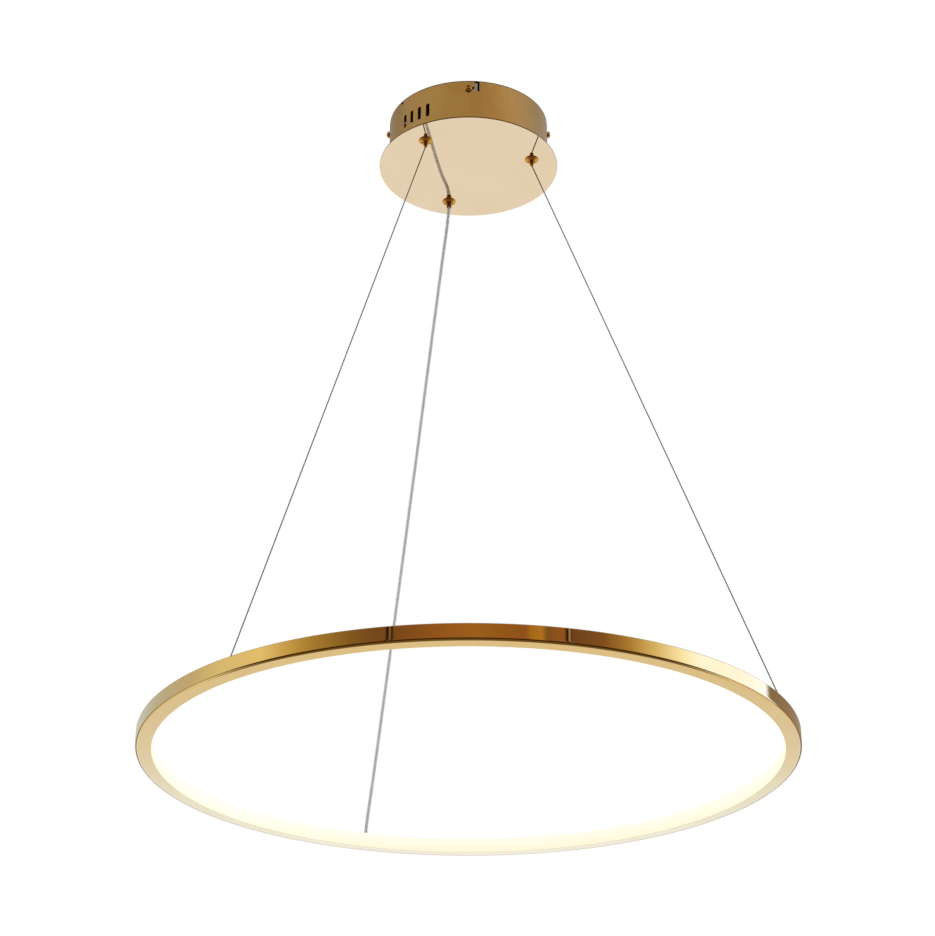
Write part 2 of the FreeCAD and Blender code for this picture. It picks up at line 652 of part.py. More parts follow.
def make_ferrule(side):
    """Crimped ferrule that holds a wire's end under the ring's top wall."""
    x, y = polar_place(ANCHOR_CIRCLE, f"{side}_foot_azimuth")
    ferrule = new_body(f"wire_ferrule_{side}", x=x, y=y, z=f"{RING_TOP} - ring_wall")
    revolve(ferrule, "crimp", [
        ("0", "-ferrule_length"), ("ferrule_radius", "-ferrule_length"),
        ("ferrule_radius", "0"), ("0", "0"),
    ])


def radial_point(radius, azimuth, height):
    angle = math.radians(azimuth)
    return V(radius * math.cos(angle), radius * math.sin(angle), height)


def make_wire(side):
    """Taut steel wire, one straight run from the nozzle's mouth into the ring."""
    top = radial_point(value(GRIPPER_CIRCLE), value(f"{side}_azimuth"), value(NOZZLE_MOUTH))
    foot = radial_point(value(ANCHOR_CIRCLE), value(f"{side}_foot_azimuth"),
                        value(f"{RING_TOP} - ring_wall + wire_radius / 2"))
    run = foot - top
    wire = doc.addObject("Part::Feature", f"suspension_wire_{side}")
    wire.Shape = Part.makeCylinder(value("wire_radius"), run.Length, top, run)
    parts[wire.Label] = wire


def rounded_path(points):
    """Straight runs joined by tangent arcs, each as large as its two runs allow."""
    edges = []
    radii = []
    last = points[0]
    for before, here, after in zip(points, points[1:], points[2:]):
        into = here - before
        out = after - here
        half_turn = into.getAngle(out) / 2
        cut = ARC_SHARE * min(into.Length, out.Length)
        radii.append(cut / math.tan(half_turn))
        into.normalize()
        out.normalize()
        start = here - into * cut
        end = here + out * cut
        inward = out - into
        inward.normalize()
        depth = radii[-1] * (1 / math.cos(half_turn) - 1)
        edges.append(Part.LineSegment(last, start).toShape())
        edges.append(Part.Arc(start, here + inward * depth, end).toShape())
        last = end
    edges.append(Part.LineSegment(last, points[-1]).toShape())
    return Part.Wire(edges), radii


def make_cord():
    """Clear power cord from the rear nozzle to the bush on the ring."""
    top = radial_point(value(GRIPPER_CIRCLE), value("rear_azimuth"), value(NOZZLE_MOUTH))
    foot = radial_point(value(ANCHOR_CIRCLE), value("rear_foot_azimuth"), value(BUSH_TOP))
    points = [top, top - V(0, 0, value("cord_exit"))]
    for share, bow in CORD_BOWS:
        aside = radial_point(bow, value("cord_bow_azimuth"), 0)
        points.append(top + (foot - top) * share + aside)
    points += [foot + V(0, 0, value("cord_entry")), foot]
    path, radii = rounded_path(points)
    section = Part.Wire(Part.makeCircle(value("cord_radius"), points[0], points[1] - points[0]))
    tube = path.makePipeShell([section], True, False)
    cord = doc.addObject("Part::Feature", "power_cord")
    cord.Shape = tube
    parts["power_cord"] = cord
    expected = math.pi * value("cord_radius") ** 2 * path.Length
    print("cord radii", [round(radius, 1) for radius in radii])
    print("cord length", round(path.Length, 1), "volume share", round(tube.Volume / expected, 4))


make_bracket()
make_side_screws()
make_terminal_block()
make_housing()
make_plate()
make_driver()
gripper_parts = [
    make_gripper("left", "wire_radius", "wire_nozzle_radius"),
    make_gripper("right", "wire_radius", "wire_nozzle_radius"),
    make_gripper("rear", "cord_radius", "cord_nozzle_radius"),
]
join("gripper_bodies", [body for body, nut in gripper_parts])
join("cap_nuts", [nut for body, nut in gripper_parts])
for side in ("left", "right"):
    make_tail(side)
    make_wire(side)
    make_ferrule(side)
make_cord()
make_bush()
make_ring_profile()
make_diffuser()
make_lamp_strip()
make_ring_joint()
doc.recompute()

for item in doc.Objects:
    if "Invalid" in item.State or "Error" in item.State:
        raise RuntimeError(f"{item.Label}: {item.State}")
for label, part in parts.items():
    if part.Shape.isNull() or not part.Shape.isValid():
        raise RuntimeError(f"{label} has no valid shape")

os.makedirs("parts", exist_ok=True)
for label, part in parts.items():
    part.Shape.exportStep(f"parts/{label}.step")
print(len(parts), "parts written")
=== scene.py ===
import bmesh
import bpy
import math
from mathutils import Matrix, Vector


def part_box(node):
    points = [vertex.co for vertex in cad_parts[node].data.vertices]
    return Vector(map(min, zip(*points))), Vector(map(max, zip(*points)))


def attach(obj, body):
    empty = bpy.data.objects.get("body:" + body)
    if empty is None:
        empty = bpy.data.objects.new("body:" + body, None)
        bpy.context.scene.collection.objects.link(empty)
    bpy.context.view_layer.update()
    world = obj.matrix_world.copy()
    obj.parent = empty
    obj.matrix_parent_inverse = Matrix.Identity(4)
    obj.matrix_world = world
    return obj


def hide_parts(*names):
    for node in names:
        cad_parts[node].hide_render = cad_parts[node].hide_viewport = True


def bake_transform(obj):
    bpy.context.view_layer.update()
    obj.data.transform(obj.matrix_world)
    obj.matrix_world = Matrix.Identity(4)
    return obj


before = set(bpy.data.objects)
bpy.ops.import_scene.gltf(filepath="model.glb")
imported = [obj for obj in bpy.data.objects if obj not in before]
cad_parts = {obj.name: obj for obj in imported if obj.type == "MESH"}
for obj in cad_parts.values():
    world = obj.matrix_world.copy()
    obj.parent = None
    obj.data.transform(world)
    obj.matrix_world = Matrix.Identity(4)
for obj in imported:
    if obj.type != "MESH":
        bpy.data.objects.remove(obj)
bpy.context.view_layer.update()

# Metres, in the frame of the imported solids. Sizes that the frame doesn't give are written
# in millimetres times MM. Azimuths are degrees from +X towards +Y.
MM = 0.001
SIDES = ("left", "right", "rear")
RING_STEPS = 512
DRUM_STEPS = 256
SCREW_STEPS = 48
HOLE_STEPS = 32
SMALL_STEPS = 64
# Edges with a sharper turn than this, in degrees, are shaded as edges.
EDGE_ANGLE = 30.0
SOFT_EDGE_ANGLE = 60.0
SAME_POINT = 1e-7

# ------------------------------------------------------------------ places from the frame
plate_low, plate_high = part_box("canopy_plate")
drum_low, drum_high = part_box("canopy_housing")
ring_low, ring_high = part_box("ring_profile")
diffuser_low, diffuser_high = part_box("ring_diffuser")
PLATE_FACE = plate_low[2]
PLATE_RADIUS = plate_high[0]
DRUM_FOOT = drum_low[2]
DRUM_RADIUS = drum_high[0]
RING_FOOT = ring_low[2]
RING_TOP = ring_high[2]
RING_RADIUS = 300.0 * MM
RING_WIDTH = 14.4 * MM
RING_WALL = 1.2 * MM
# The lines leave the canopy at the grippers' circle and meet the ring at the lines' circle.
LINE_CIRCLE = RING_RADIUS - RING_WIDTH / 2
GRIPPER_CIRCLE = 66.5 * MM
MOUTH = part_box("release_nozzle_left")[0][2]
AZIMUTH = {"left": 229.5, "right": 346.0, "rear": 108.0}
FOOT_AZIMUTH = {"left": 227.5, "right": 346.5, "rear": 110.9}
WIRE_RADIUS = 0.6 * MM
CORD_RADIUS = 1.85 * MM


def polar(radius, azimuth, height=0.0):
    angle = math.radians(azimuth)
    return Vector((radius * math.cos(angle), radius * math.sin(angle), height))


# ------------------------------------------------------------------ camera
# A pinhole camera fitted to the photograph, whose longer side is FRAME_PIXELS. The lamp's
# axis stands RIGHT_OF_MIDDLE pixels right of the middle of the frame.
CAMERA_PLACE = (0.0, -1.990, -1.3587)
CAMERA_PITCH = 25.89
FOCAL_PIXELS = 2297.5
RIGHT_OF_MIDDLE = 1.0
FRAME_PIXELS = 936
SENSOR = 36.0


def make_camera():
    data = bpy.data.cameras.new("camera")
    data.sensor_width = SENSOR
    data.lens = FOCAL_PIXELS * SENSOR / FRAME_PIXELS
    data.shift_x = -RIGHT_OF_MIDDLE / FRAME_PIXELS
    data.clip_end = 50.0
    camera = bpy.data.objects.new("camera", data)
    bpy.context.collection.objects.link(camera)
    camera.location = CAMERA_PLACE
    camera.rotation_euler = (math.radians(90 + CAMERA_PITCH), 0.0, 0.0)
    bpy.context.scene.camera = camera


# ------------------------------------------------------------------ mesh tools
def smooth(mesh, flat_angle=EDGE_ANGLE):
    """Shades the mesh smooth but for its edges sharper than the angle."""
    mesh.polygons.foreach_set("use_smooth", [True] * len(mesh.polygons))
    mesh.set_sharp_from_angle(angle=math.radians(flat_angle))


def piece(name, mesh, flat_angle=EDGE_ANGLE):
    """An object of a finished mesh."""
    smooth(mesh, flat_angle)
    obj = bpy.data.objects.new(name, mesh)
    bpy.context.collection.objects.link(obj)
    return obj


def finished(mesh, name):
    """The mesh data of a built mesh, its faces turned outwards."""
    bmesh.ops.recalc_face_normals(mesh, faces=mesh.faces)
    data = bpy.data.meshes.new(name)
    mesh.to_mesh(data)
    mesh.free()
    return data


ROUNDING_STEPS = 5
SUPPORT_REACH = 1.3


def rounded(corners):
    """An outline of (radius, height, rounding) corners as points, in millimetres.
    Next to each rounding a point is kept on both sides, so that flat faces stay flat. Two
    roundings on one short edge have to leave room for those points."""
    points = []
    count = len(corners)
    for index, (x, y, rounding) in enumerate(corners):
        here = Vector((x, y))
        if rounding == 0:
            points.append(here)
            continue
        before = (Vector(corners[index - 1][:2]) - here).normalized()
        after = (Vector(corners[(index + 1) % count][:2]) - here).normalized()
        half = before.angle(after) / 2
        reach = rounding / math.tan(half)
        centre = here + (before + after).normalized() * (rounding / math.sin(half))
        start = here + before * reach - centre
        end = here + after * reach - centre
        points.append(here + before * reach * SUPPORT_REACH)
        for step in range(ROUNDING_STEPS + 1):
            blend = start.lerp(end, step / ROUNDING_STEPS).normalized() * rounding
            points.append(centre + blend)
        points.append(here + after * reach * SUPPORT_REACH)
    return points


def turned_mesh(name, points, steps, closed=True, centre=(0.0, 0.0, 0.0)):
    """A solid of revolution from an outline in millimetres about an upright axis."""
    mesh = bmesh.new()
    rings = []
    for step in range(steps):
        angle = 2 * math.pi * step / steps
        c, s = math.cos(angle), math.sin(angle)
        rings.append([mesh.verts.new((centre[0] + p.x * MM * c, centre[1] + p.x * MM * s,
                                      centre[2] + p.y * MM)) for p in points])
    span = len(points) if closed else len(points) - 1
    for step in range(steps):
        near, far = rings[step], rings[(step + 1) % steps]
        for index in range(span):
            after = (index + 1) % len(points)
            mesh.faces.new((near[index], far[index], far[after], near[after]))
    bmesh.ops.remove_doubles(mesh, verts=mesh.verts, dist=SAME_POINT)
    return finished(mesh, name)


def prism_mesh(name, corners, azimuth, near, far):
    """A cutter: an outline of (sideways, height) metres pushed outwards at an azimuth."""
    outward = polar(1.0, azimuth)
    sideways = polar(1.0, azimuth + 90)
    mesh = bmesh.new()
    ends = []
    for radius in (near, far):
        ends.append([mesh.verts.new(outward * radius + sideways * x + Vector((0, 0, z)))
                     for x, z in corners])
    mesh.faces.new(ends[0])
    mesh.faces.new(ends[1])
    for index in range(len(corners)):
        after = (index + 1) % len(corners)
        mesh.faces.new((ends[0][index], ends[0][after], ends[1][after], ends[1][index]))
    return finished(mesh, name)


def cut_out(obj, cutters):
    """Takes the cutters' forms out of the object's mesh and removes the cutters."""
    tools = []
    for index, data in enumerate(cutters):
        tool = bpy.data.objects.new(f"{obj.name}_cutter_{index}", data)
        bpy.context.collection.objects.link(tool)
        tools.append(tool)
        modifier = obj.modifiers.new(f"cut_{index}", "BOOLEAN")
        modifier.operation = "DIFFERENCE"
        modifier.solver = "EXACT"
        modifier.object = tool
    graph = bpy.context.evaluated_depsgraph_get()
    result = bpy.data.meshes.new_from_object(obj.evaluated_get(graph))
    obj.modifiers.clear()
    obj.data = result
    for tool in tools:
        bpy.data.objects.remove(tool)
    smooth(result)


def arc(x, z, radius, start, end, steps=12):
    """Points of an arc between two angles, in degrees, for a cutter's outline."""
    turns = [math.radians(start + (end - start) * i / steps) for i in range(steps + 1)]
    return [(x + radius * math.cos(t), z + radius * math.sin(t)) for t in turns]


def keep(obj, body, material, node):
    """Gives a finished piece its material and its body, and hides the node that it stands
    for.
    """
    obj.data.materials.clear()
    obj.data.materials.append(material)
    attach(obj, body)
    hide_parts(node)


# ------------------------------------------------------------------ material tools
def colour(code):
    """An sRGB hex code as linear RGBA."""
    values = []
    for start in (0, 2, 4):
        value = int(code[start:start + 2], 16) / 255
        values.append(value / 12.92 if value <= 0.04045 else ((value + 0.055) / 1.055) ** 2.4)
    return (*values, 1.0)


def add(tree, kind, settings=None, links=None, stops=()):
    """Adds a node, sets its sockets or settings by name and links its inputs. A colour ramp
    also gets its stops of (position, colour)."""
    node = tree.nodes.new(f"ShaderNode{kind}")
    for name, value in (settings or {}).items():
        if isinstance(name, int) or name in node.inputs:
            node.inputs[name].default_value = value
        else:
            setattr(node, name, value)
    for name, source in (links or {}).items():
        tree.links.new(source, node.inputs[name])
    if stops:
        elements = node.color_ramp.elements
        while len(elements) < len(stops):
            elements.new(0.5)
        for element, (position, value) in zip(elements, stops):
            element.position = position
            element.color = value
    return node


def start_material(name, **settings):
    """A material with one Principled shader; names use _ where a socket has a space."""
    material = bpy.data.materials.new(name)
    material.use_nodes = True
    tree = material.node_tree
    shader = tree.nodes["Principled BSDF"]
    for key, value in settings.items():
        shader.inputs[key.replace("_", " ")].default_value = value
    return material, tree, shader


def pattern(tree, kind, millimetres, output="Fac", **settings):
    """A texture in the object's space, its features about this many millimetres across."""
    place = add(tree, "TexCoord").outputs["Object"]
    texture = add(tree, kind, {"Scale": 1 / (millimetres * MM), **settings},
                  {"Vector": place})
    return texture.outputs[output]


def follow(tree, shader, source, tint=(), roughness=None, relief=None):
    """Lets the shader follow a pattern: its tint in stops of (position, hex code), its
    roughness between two values, its relief by a strength and a depth in millimetres."""
    if tint:
        stops = [(position, colour(code)) for position, code in tint]
        colours = add(tree, "ValToRGB", links={"Fac": source}, stops=stops)
        tree.links.new(colours.outputs["Color"], shader.inputs["Base Color"])
    if roughness:
        low, high = roughness
        span = add(tree, "MapRange", {"To Min": low, "To Max": high}, {"Value": source})
        tree.links.new(span.outputs["Result"], shader.inputs["Roughness"])
    if relief:
        strength, depth = relief
        uneven = add(tree, "Bump", {"Strength": strength, "Distance": depth * MM},
                     {"Height": source})
        tree.links.new(uneven.outputs["Normal"], shader.inputs["Normal"])


# ------------------------------------------------------------------ materials
def polished_gold_aluminium():
    # Polished and gold-anodised aluminium: a deep yellow mirror, slightly veiled by the
    # oxide, with a faint drawn texture along the profile that only shows as uneven gloss.
    material, tree, shader = start_material("polished_gold_aluminium", Metallic=1.0)
    follow(tree, shader, pattern(tree, "TexNoise", 60.0),
           tint=[(0.3, "E0C27E"), (0.7, "E4C785")])
    follow(tree, shader, pattern(tree, "TexNoise", 8.0, Detail=3.0), roughness=(0.012, 0.03))
    follow(tree, shader, pattern(tree, "TexNoise", 40.0), relief=(0.03, 0.1))
    return material


def satin_gold_steel():
    # Gold-tone plated sheet steel with a satin lacquer: broad soft highlights.
    material, tree, shader = start_material("satin_gold_steel", Metallic=1.0)
    follow(tree, shader, pattern(tree, "TexNoise", 30.0),
           tint=[(0.3, "CFA25C"), (0.7, "D8AC66")])
    follow(tree, shader, pattern(tree, "TexNoise", 0.6, Detail=4.0), roughness=(0.2, 0.28))
    follow(tree, shader, pattern(tree, "TexNoise", 0.4, Detail=3.0), relief=(0.05, 0.02))
    return material


def mirror_gold_steel():
    # Mirror-polished plated steel: pale gold, nearly free of texture.
    material, tree, shader = start_material("mirror_gold_steel", Metallic=1.0)
    follow(tree, shader, pattern(tree, "TexNoise", 40.0),
           tint=[(0.3, "E9D7B8"), (0.7, "ECDABC")])
    follow(tree, shader, pattern(tree, "TexNoise", 1.5, Detail=3.0), roughness=(0.015, 0.035))
    return material


def shaded_edge_gold():
    # The sheets' cut edges: plated, but neither ground nor polished, so dull. Their dark
    # brown is painted shade, for the shade inside the vents and slots and along the plate's
    # rim.
    material, tree, shader = start_material("shaded_edge_gold", Metallic=1.0)
    follow(tree, shader, pattern(tree, "TexNoise", 1.5, Detail=4.0),
           tint=[(0.3, "4E3417"), (0.7, "6B4A22")])
    follow(tree, shader, pattern(tree, "TexNoise", 0.4, Detail=3.0), roughness=(0.4, 0.6))
    return material


def polished_brass():
    # Turned and polished brass: a warm mirror with very fine turning marks.
    material, tree, shader = start_material("polished_brass", Metallic=1.0)
    follow(tree, shader, pattern(tree, "TexNoise", 5.0),
           tint=[(0.3, "DDA33F"), (0.7, "E6AF50")])
    marks = pattern(tree, "TexWave", 1.2, bands_direction="Z", Distortion=0.5)
    follow(tree, shader, marks, roughness=(0.26, 0.34), relief=(0.06, 0.01))
    return material


def zinc_plated_steel():
    # Pressed steel, bright zinc plated: cool grey with a cloudy, slightly blue bloom.
    material, tree, shader = start_material("zinc_plated_steel", Metallic=1.0)
    follow(tree, shader, pattern(tree, "TexNoise", 6.0, Detail=4.0),
           tint=[(0.35, "B9BCC0"), (0.65, "D3D3CF")])
    follow(tree, shader, pattern(tree, "TexNoise", 3.0, Detail=5.0), roughness=(0.28, 0.42))
    follow(tree, shader, pattern(tree, "TexNoise", 0.5, Detail=3.0), relief=(0.08, 0.02))
    return material


def stainless_wire():
    # Stranded stainless steel: its lay is modelled, its strands are drawn bright.
    material, tree, shader = start_material("stainless_wire", Metallic=1.0)
    follow(tree, shader, pattern(tree, "TexNoise", 1.0),
           tint=[(0.3, "82817E"), (0.7, "A3A19D")])
    follow(tree, shader, pattern(tree, "TexNoise", 0.3), roughness=(0.25, 0.4))
    return material


def spring_steel():
    # Drawn spring wire with a thin film of oil.
    material, tree, shader = start_material("spring_steel", Metallic=1.0)
    follow(tree, shader, pattern(tree, "TexNoise", 2.0),
           tint=[(0.3, "8C8E92"), (0.7, "A4A6AA")])
    follow(tree, shader, pattern(tree, "TexNoise", 0.3), roughness=(0.2, 0.3))
    return material


def lit_opal_silicone():
    # Opal silicone lit from behind: it glows warm white, more yellow towards its lower
    # edge, where the channel's flange takes part of the light, and whitest at the top.
    material, tree, shader = start_material(
        "lit_opal_silicone", Base_Color=colour("A8A498"), Roughness=0.5,
        Emission_Strength=0.8)
    place = add(tree, "TexCoord").outputs["Object"]
    height = add(tree, "SeparateXYZ", links={"Vector": place}).outputs["Z"]
    rise = add(tree, "MapRange", {"From Min": RING_FOOT, "From Max": RING_TOP},
               {"Value": height})
    glow = add(tree, "ValToRGB", links={"Fac": rise.outputs["Result"]}, stops=[
        (0.0, colour("FFF9D6")), (0.2, colour("FFFBE0")), (0.5, colour("FFFCE8")),
        (0.85, colour("FFFFEE")), (1.0, colour("FFFFFF"))])
    tree.links.new(glow.outputs["Color"], shader.inputs["Emission Color"])
    follow(tree, shader, pattern(tree, "TexNoise", 0.8), relief=(0.05, 0.02))
    return material


def flexible_board():
    # White solder mask over polyimide, with copper pads showing through as warm dashes.
    material, tree, shader = start_material("flexible_board", Roughness=0.35)
    follow(tree, shader, pattern(tree, "TexNoise", 4.0),
           tint=[(0.45, "F3F1E8"), (0.62, "EDE6D2"), (0.66, "D8B98A")])
    return material


def phosphor_chip():
    # Yellow phosphor gel of a lit light chip, in two shades, which glows warm white.
    material, tree, shader = start_material(
        "phosphor_chip", Base_Color=colour("F2D96B"), Roughness=0.4,
        Emission_Color=colour("FFE9B0"), Emission_Strength=3.0)
    follow(tree, shader, pattern(tree, "TexNoise", 0.8),
           tint=[(0.3, "EFD15C"), (0.7, "F7E48A")])
    return material


def clear_jacket():
    # Clear soft plastic: almost water-clear, with a soft skin that blurs its edges.
    material, tree, shader = start_material(
        "clear_jacket", Base_Color=colour("F4F4F2"), Roughness=0.08,
        Transmission_Weight=1.0, IOR=1.45)
    follow(tree, shader, pattern(tree, "TexNoise", 2.0), roughness=(0.05, 0.16))
    return material


def milky_insulation():
    # The cores' own insulation, run together: a milky grey skin that half hides their lay.
    material, tree, shader = start_material("milky_insulation", Roughness=0.5, Alpha=0.85)
    follow(tree, shader, pattern(tree, "TexNoise", 1.5),
           tint=[(0.3, "EDEEF0"), (0.7, "F6F7F9")])
    return material


def tinned_core():
    # Tinned copper strands under a thin clear skin: grey with bright glints.
    material, tree, shader = start_material("tinned_core", Metallic=0.6)
    follow(tree, shader, pattern(tree, "TexNoise", 0.7, Detail=3.0),
           tint=[(0.35, "B4B2AE"), (0.65, "CFCDC8")])
    follow(tree, shader, pattern(tree, "TexNoise", 0.4), roughness=(0.3, 0.5))
    return material


def moulded_white(name, low, high, roughness):
    # Moulded white plastic with a fine spark-eroded texture from its tool.
    material, tree, shader = start_material(name)
    follow(tree, shader, pattern(tree, "TexNoise", 12.0), tint=[(0.3, low), (0.7, high)])
    follow(tree, shader, pattern(tree, "TexNoise", 0.5, Detail=4.0),
           roughness=(roughness, roughness + 0.15), relief=(0.2, 0.03))
    return material


def green_board():
    # Glass-fibre board under green solder mask, its tracks as slightly paler lines.
    material, tree, shader = start_material("green_board", Roughness=0.3)
    tracks = pattern(tree, "TexVoronoi", 3.0, "Distance", feature="DISTANCE_TO_EDGE")
    follow(tree, shader, tracks, tint=[(0.04, "3E8A54"), (0.09, "1F6138")],
           relief=(0.2, 0.05))
    return material


def winding_tape():
    # Yellow polyester tape wound round a transformer, its overlaps as fine steps.
    material, tree, shader = start_material("winding_tape", Roughness=0.3)
    wraps = pattern(tree, "TexWave", 12.0, wave_profile="SAW", bands_direction="Z")
    follow(tree, shader, wraps, tint=[(0.0, "D9A71C"), (1.0, "E8BC36")],
           relief=(0.3, 0.05))
    return material


def film_capacitor():
    # Dark epoxy-filled plastic box of a film capacitor.
    material, tree, shader = start_material("film_capacitor")
    follow(tree, shader, pattern(tree, "TexNoise", 3.0),
           tint=[(0.3, "1B1B1E"), (0.7, "27272B")])
    follow(tree, shader, pattern(tree, "TexNoise", 0.5), roughness=(0.25, 0.4))
    return material


def foam_tape():
    # Closed-cell polyethylene foam: matt, pitted with its cells.
    material, tree, shader = start_material("foam_tape", Roughness=0.9)
    cells = pattern(tree, "TexVoronoi", 0.6, "Distance")
    follow(tree, shader, cells, tint=[(0.0, "1E1E20"), (0.8, "3A3A3D")],
           relief=(0.5, 0.1))
    return material


# ------------------------------------------------------------------ lines: wires and cord
LINE_STEPS = 24
# The wires are laid of strands, and a ring of points stands at each spacing.
STRANDS = 6
STRAND_POINTS = 4
STRAND_DEPTH = 0.07 * MM
WIRE_LAY = 9.0 * MM
WIRE_SPACING = 0.9 * MM
WIRE_FOOT = RING_TOP - RING_WALL + WIRE_RADIUS / 2
# The power cord hangs in a bow: shares of the way from its nozzle to its bush, and how many
# millimetres the control point there stands out of the straight line.
CORD_BOWS = [(0.10, 30.0), (0.45, 88.0), (0.90, 21.0)]
CORD_BOW_AZIMUTH = 94.0
CORD_HELD = 3.0 * MM
CORD_EXIT = 8.0 * MM
CORD_ENTRY = 7.0 * MM
BUSH_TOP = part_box("cord_bush_rear")[1][2]
# In its jacket two cores turn round each other inside a common sleeve of insulation.
CORD_LAY = 9.0 * MM
CORD_SPACING = 0.8 * MM
CORE_RADIUS = 0.43 * MM
CORE_OFFSET = 0.40 * MM
SLEEVE_RADIUS = 0.95 * MM
JACKET_SIDES = 24
CORE_SIDES = 8
SLEEVE_SIDES = 16


def spline_points(name, route):
    """The route's NURBS line, as the points of a mesh made from it."""
    data = bpy.data.curves.new(name, "CURVE")
    data.dimensions = "3D"
    data.resolution_u = LINE_STEPS
    spline = data.splines.new("NURBS")
    spline.points.add(len(route) - 1)
    for point, where in zip(spline.points, route):
        point.co = (*where, 1.0)
    spline.order_u = 3
    spline.use_endpoint_u = True
    guide = bpy.data.objects.new(name, data)
    bpy.context.collection.objects.link(guide)
    graph = bpy.context.evaluated_depsgraph_get()
    mesh = bpy.data.meshes.new_from_object(guide.evaluated_get(graph))
    points = [vertex.co.copy() for vertex in mesh.vertices]
    bpy.data.meshes.remove(mesh)
    bpy.data.objects.remove(guide)
    return points


def even_points(points, spacing):
    """The same line at an even spacing, for pieces that need rings of one length."""
    lengths = [0.0]
    for before, after in zip(points, points[1:]):
        lengths.append(lengths[-1] + (after - before).length)
    count = max(2, round(lengths[-1] / spacing))
    result = []
    index = 0
    for step in range(count + 1):
        goal = lengths[-1] * step / count
        while index < len(points) - 2 and lengths[index + 1] < goal:
            index += 1
        share = (goal - lengths[index]) / (lengths[index + 1] - lengths[index])
        result.append(points[index].lerp(points[index + 1], share))
    return result


def frames_along(points):
    """For each point two directions across the line, turned as little as possible."""
    heading = (points[1] - points[0]).normalized()
    across = heading.orthogonal().normalized()
    result = []
    for index in range(len(points)):
        ahead = points[min(index + 1, len(points) - 1)]
        behind = points[max(index - 1, 0)]
        heading = (ahead - behind).normalized()
        across = (across - heading * across.dot(heading)).normalized()
        result.append((across, heading.cross(across)))
    return result


def swept_mesh(name, points, section):
    """A tube along the points; section(step) gives its (across, up) points in metres."""
    mesh = bmesh.new()
    rings = []
    for step, (point, (across, up)) in enumerate(zip(points, frames_along(points))):
        rings.append([mesh.verts.new(point + across * x + up * y) for x, y in section(step)])
    for near, far in zip(rings, rings[1:]):
        for index in range(len(near)):
            after = (index + 1) % len(near)
            mesh.faces.new((near[index], near[after], far[after], far[index]))
    mesh.faces.new(rings[0])
    mesh.faces.new(rings[-1])
    return finished(mesh, name)


def circle_section(radius, sides, offset=0.0, turn_per_step=0.0):
    """A round section, carried round the line at an offset as it goes."""
    def section(step):
        turn = turn_per_step * step
        centre = (offset * math.cos(turn), offset * math.sin(turn))
        return [(centre[0] + radius * math.cos(2 * math.pi * i / sides),
                 centre[1] + radius * math.sin(2 * math.pi * i / sides))
                for i in range(sides)]
    return section


def stranded_section(step):
    """A wire's section: its strands bulge round it and turn as it goes."""
    result = []
    count = STRANDS * STRAND_POINTS
    for index in range(count):
        angle = 2 * math.pi * index / count
        bulge = abs(math.sin(STRANDS * angle / 2))
        reach = WIRE_RADIUS - STRAND_DEPTH * (1 - bulge)
        turn = angle + 2 * math.pi * WIRE_SPACING / WIRE_LAY * step
        result.append((reach * math.cos(turn), reach * math.sin(turn)))
    return result


def stretch_between(obj, top, foot):
    """Bakes the object's transform into its mesh; top and foot are not used."""
    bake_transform(obj)
    top, foot = Vector(top), Vector(foot)


def make_wires(steel):
    for side in ("left", "right"):
        top = polar(GRIPPER_CIRCLE, AZIMUTH[side], MOUTH)
        foot = polar(LINE_CIRCLE, FOOT_AZIMUTH[side], WIRE_FOOT)
        route = [top, top.lerp(foot, 0.5), foot]
        points = even_points(spline_points(f"wire_{side}_line", route), WIRE_SPACING)
        mesh = swept_mesh(f"wire_{side}", points, stranded_section)
        wire = piece(f"suspension_wire_{side}_strands", mesh, SOFT_EDGE_ANGLE)
        mesh.materials.append(steel)
        stretch_between(wire, top, foot)
        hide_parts(f"suspension_wire_{side}")


def cord_part(name, points, section, material):
    """One of the power cord's tubes."""
    tube = piece(name, swept_mesh(name, points, section))
    tube.data.materials.append(material)
    return tube


def make_power_cord(jacket, insulation, core):
    top = polar(GRIPPER_CIRCLE, AZIMUTH["rear"], MOUTH)
    foot = polar(LINE_CIRCLE, FOOT_AZIMUTH["rear"], BUSH_TOP)
    # It starts inside the nozzle, so that no gap opens when the nozzle is pushed up.
    held = top + Vector((0, 0, CORD_HELD))
    route = [held, top - Vector((0, 0, CORD_EXIT))]
    for share, bow in CORD_BOWS:
        route.append(top.lerp(foot, share) + polar(bow * MM, CORD_BOW_AZIMUTH))
    route += [foot + Vector((0, 0, CORD_ENTRY)), foot]
    points = even_points(spline_points("cord_line", route), CORD_SPACING)
    tube = cord_part("power_cord_jacket", points, circle_section(CORD_RADIUS, JACKET_SIDES),
                     jacket)
    turn = 2 * math.pi * CORD_SPACING / CORD_LAY
    inside = [cord_part(f"power_cord_core_{index}", points,
                        circle_section(CORE_RADIUS, CORE_SIDES, offset, turn), core)
              for index, offset in enumerate((CORE_OFFSET, -CORE_OFFSET))]
    inside.append(cord_part("power_cord_insulation", points,
                            circle_section(SLEEVE_RADIUS, SLEEVE_SIDES), insulation))
    for obj in (tube, *inside):
        stretch_between(obj, top, foot)
    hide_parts("power_cord")


# ------------------------------------------------------------------ canopy
# The side screws sit in slots that are open upwards, SLOT_TURN degrees beside the screws.
SCREW_AZIMUTHS = (0, 90, 180, 270)
SCREW_DROP = 9.3 * MM
SLOT_HALF = 2.5 * MM
SLOT_TURN = 6.0
VENT_AZIMUTH = 218.1
VENT_PITCH = 7.2
VENT_COUNT = 4
VENT_DROP = 27.0 * MM
VENT_HEIGHT = 15.5 * MM
VENT_WIDTH = 4.2 * MM
NOTCH_AZIMUTH = 214.3
NOTCH_WIDTH = 3.0 * MM
NOTCH_DEPTH = 3.6 * MM
CUT_REACH = 4.0 * MM
CUT_ABOVE = 1.0 * MM
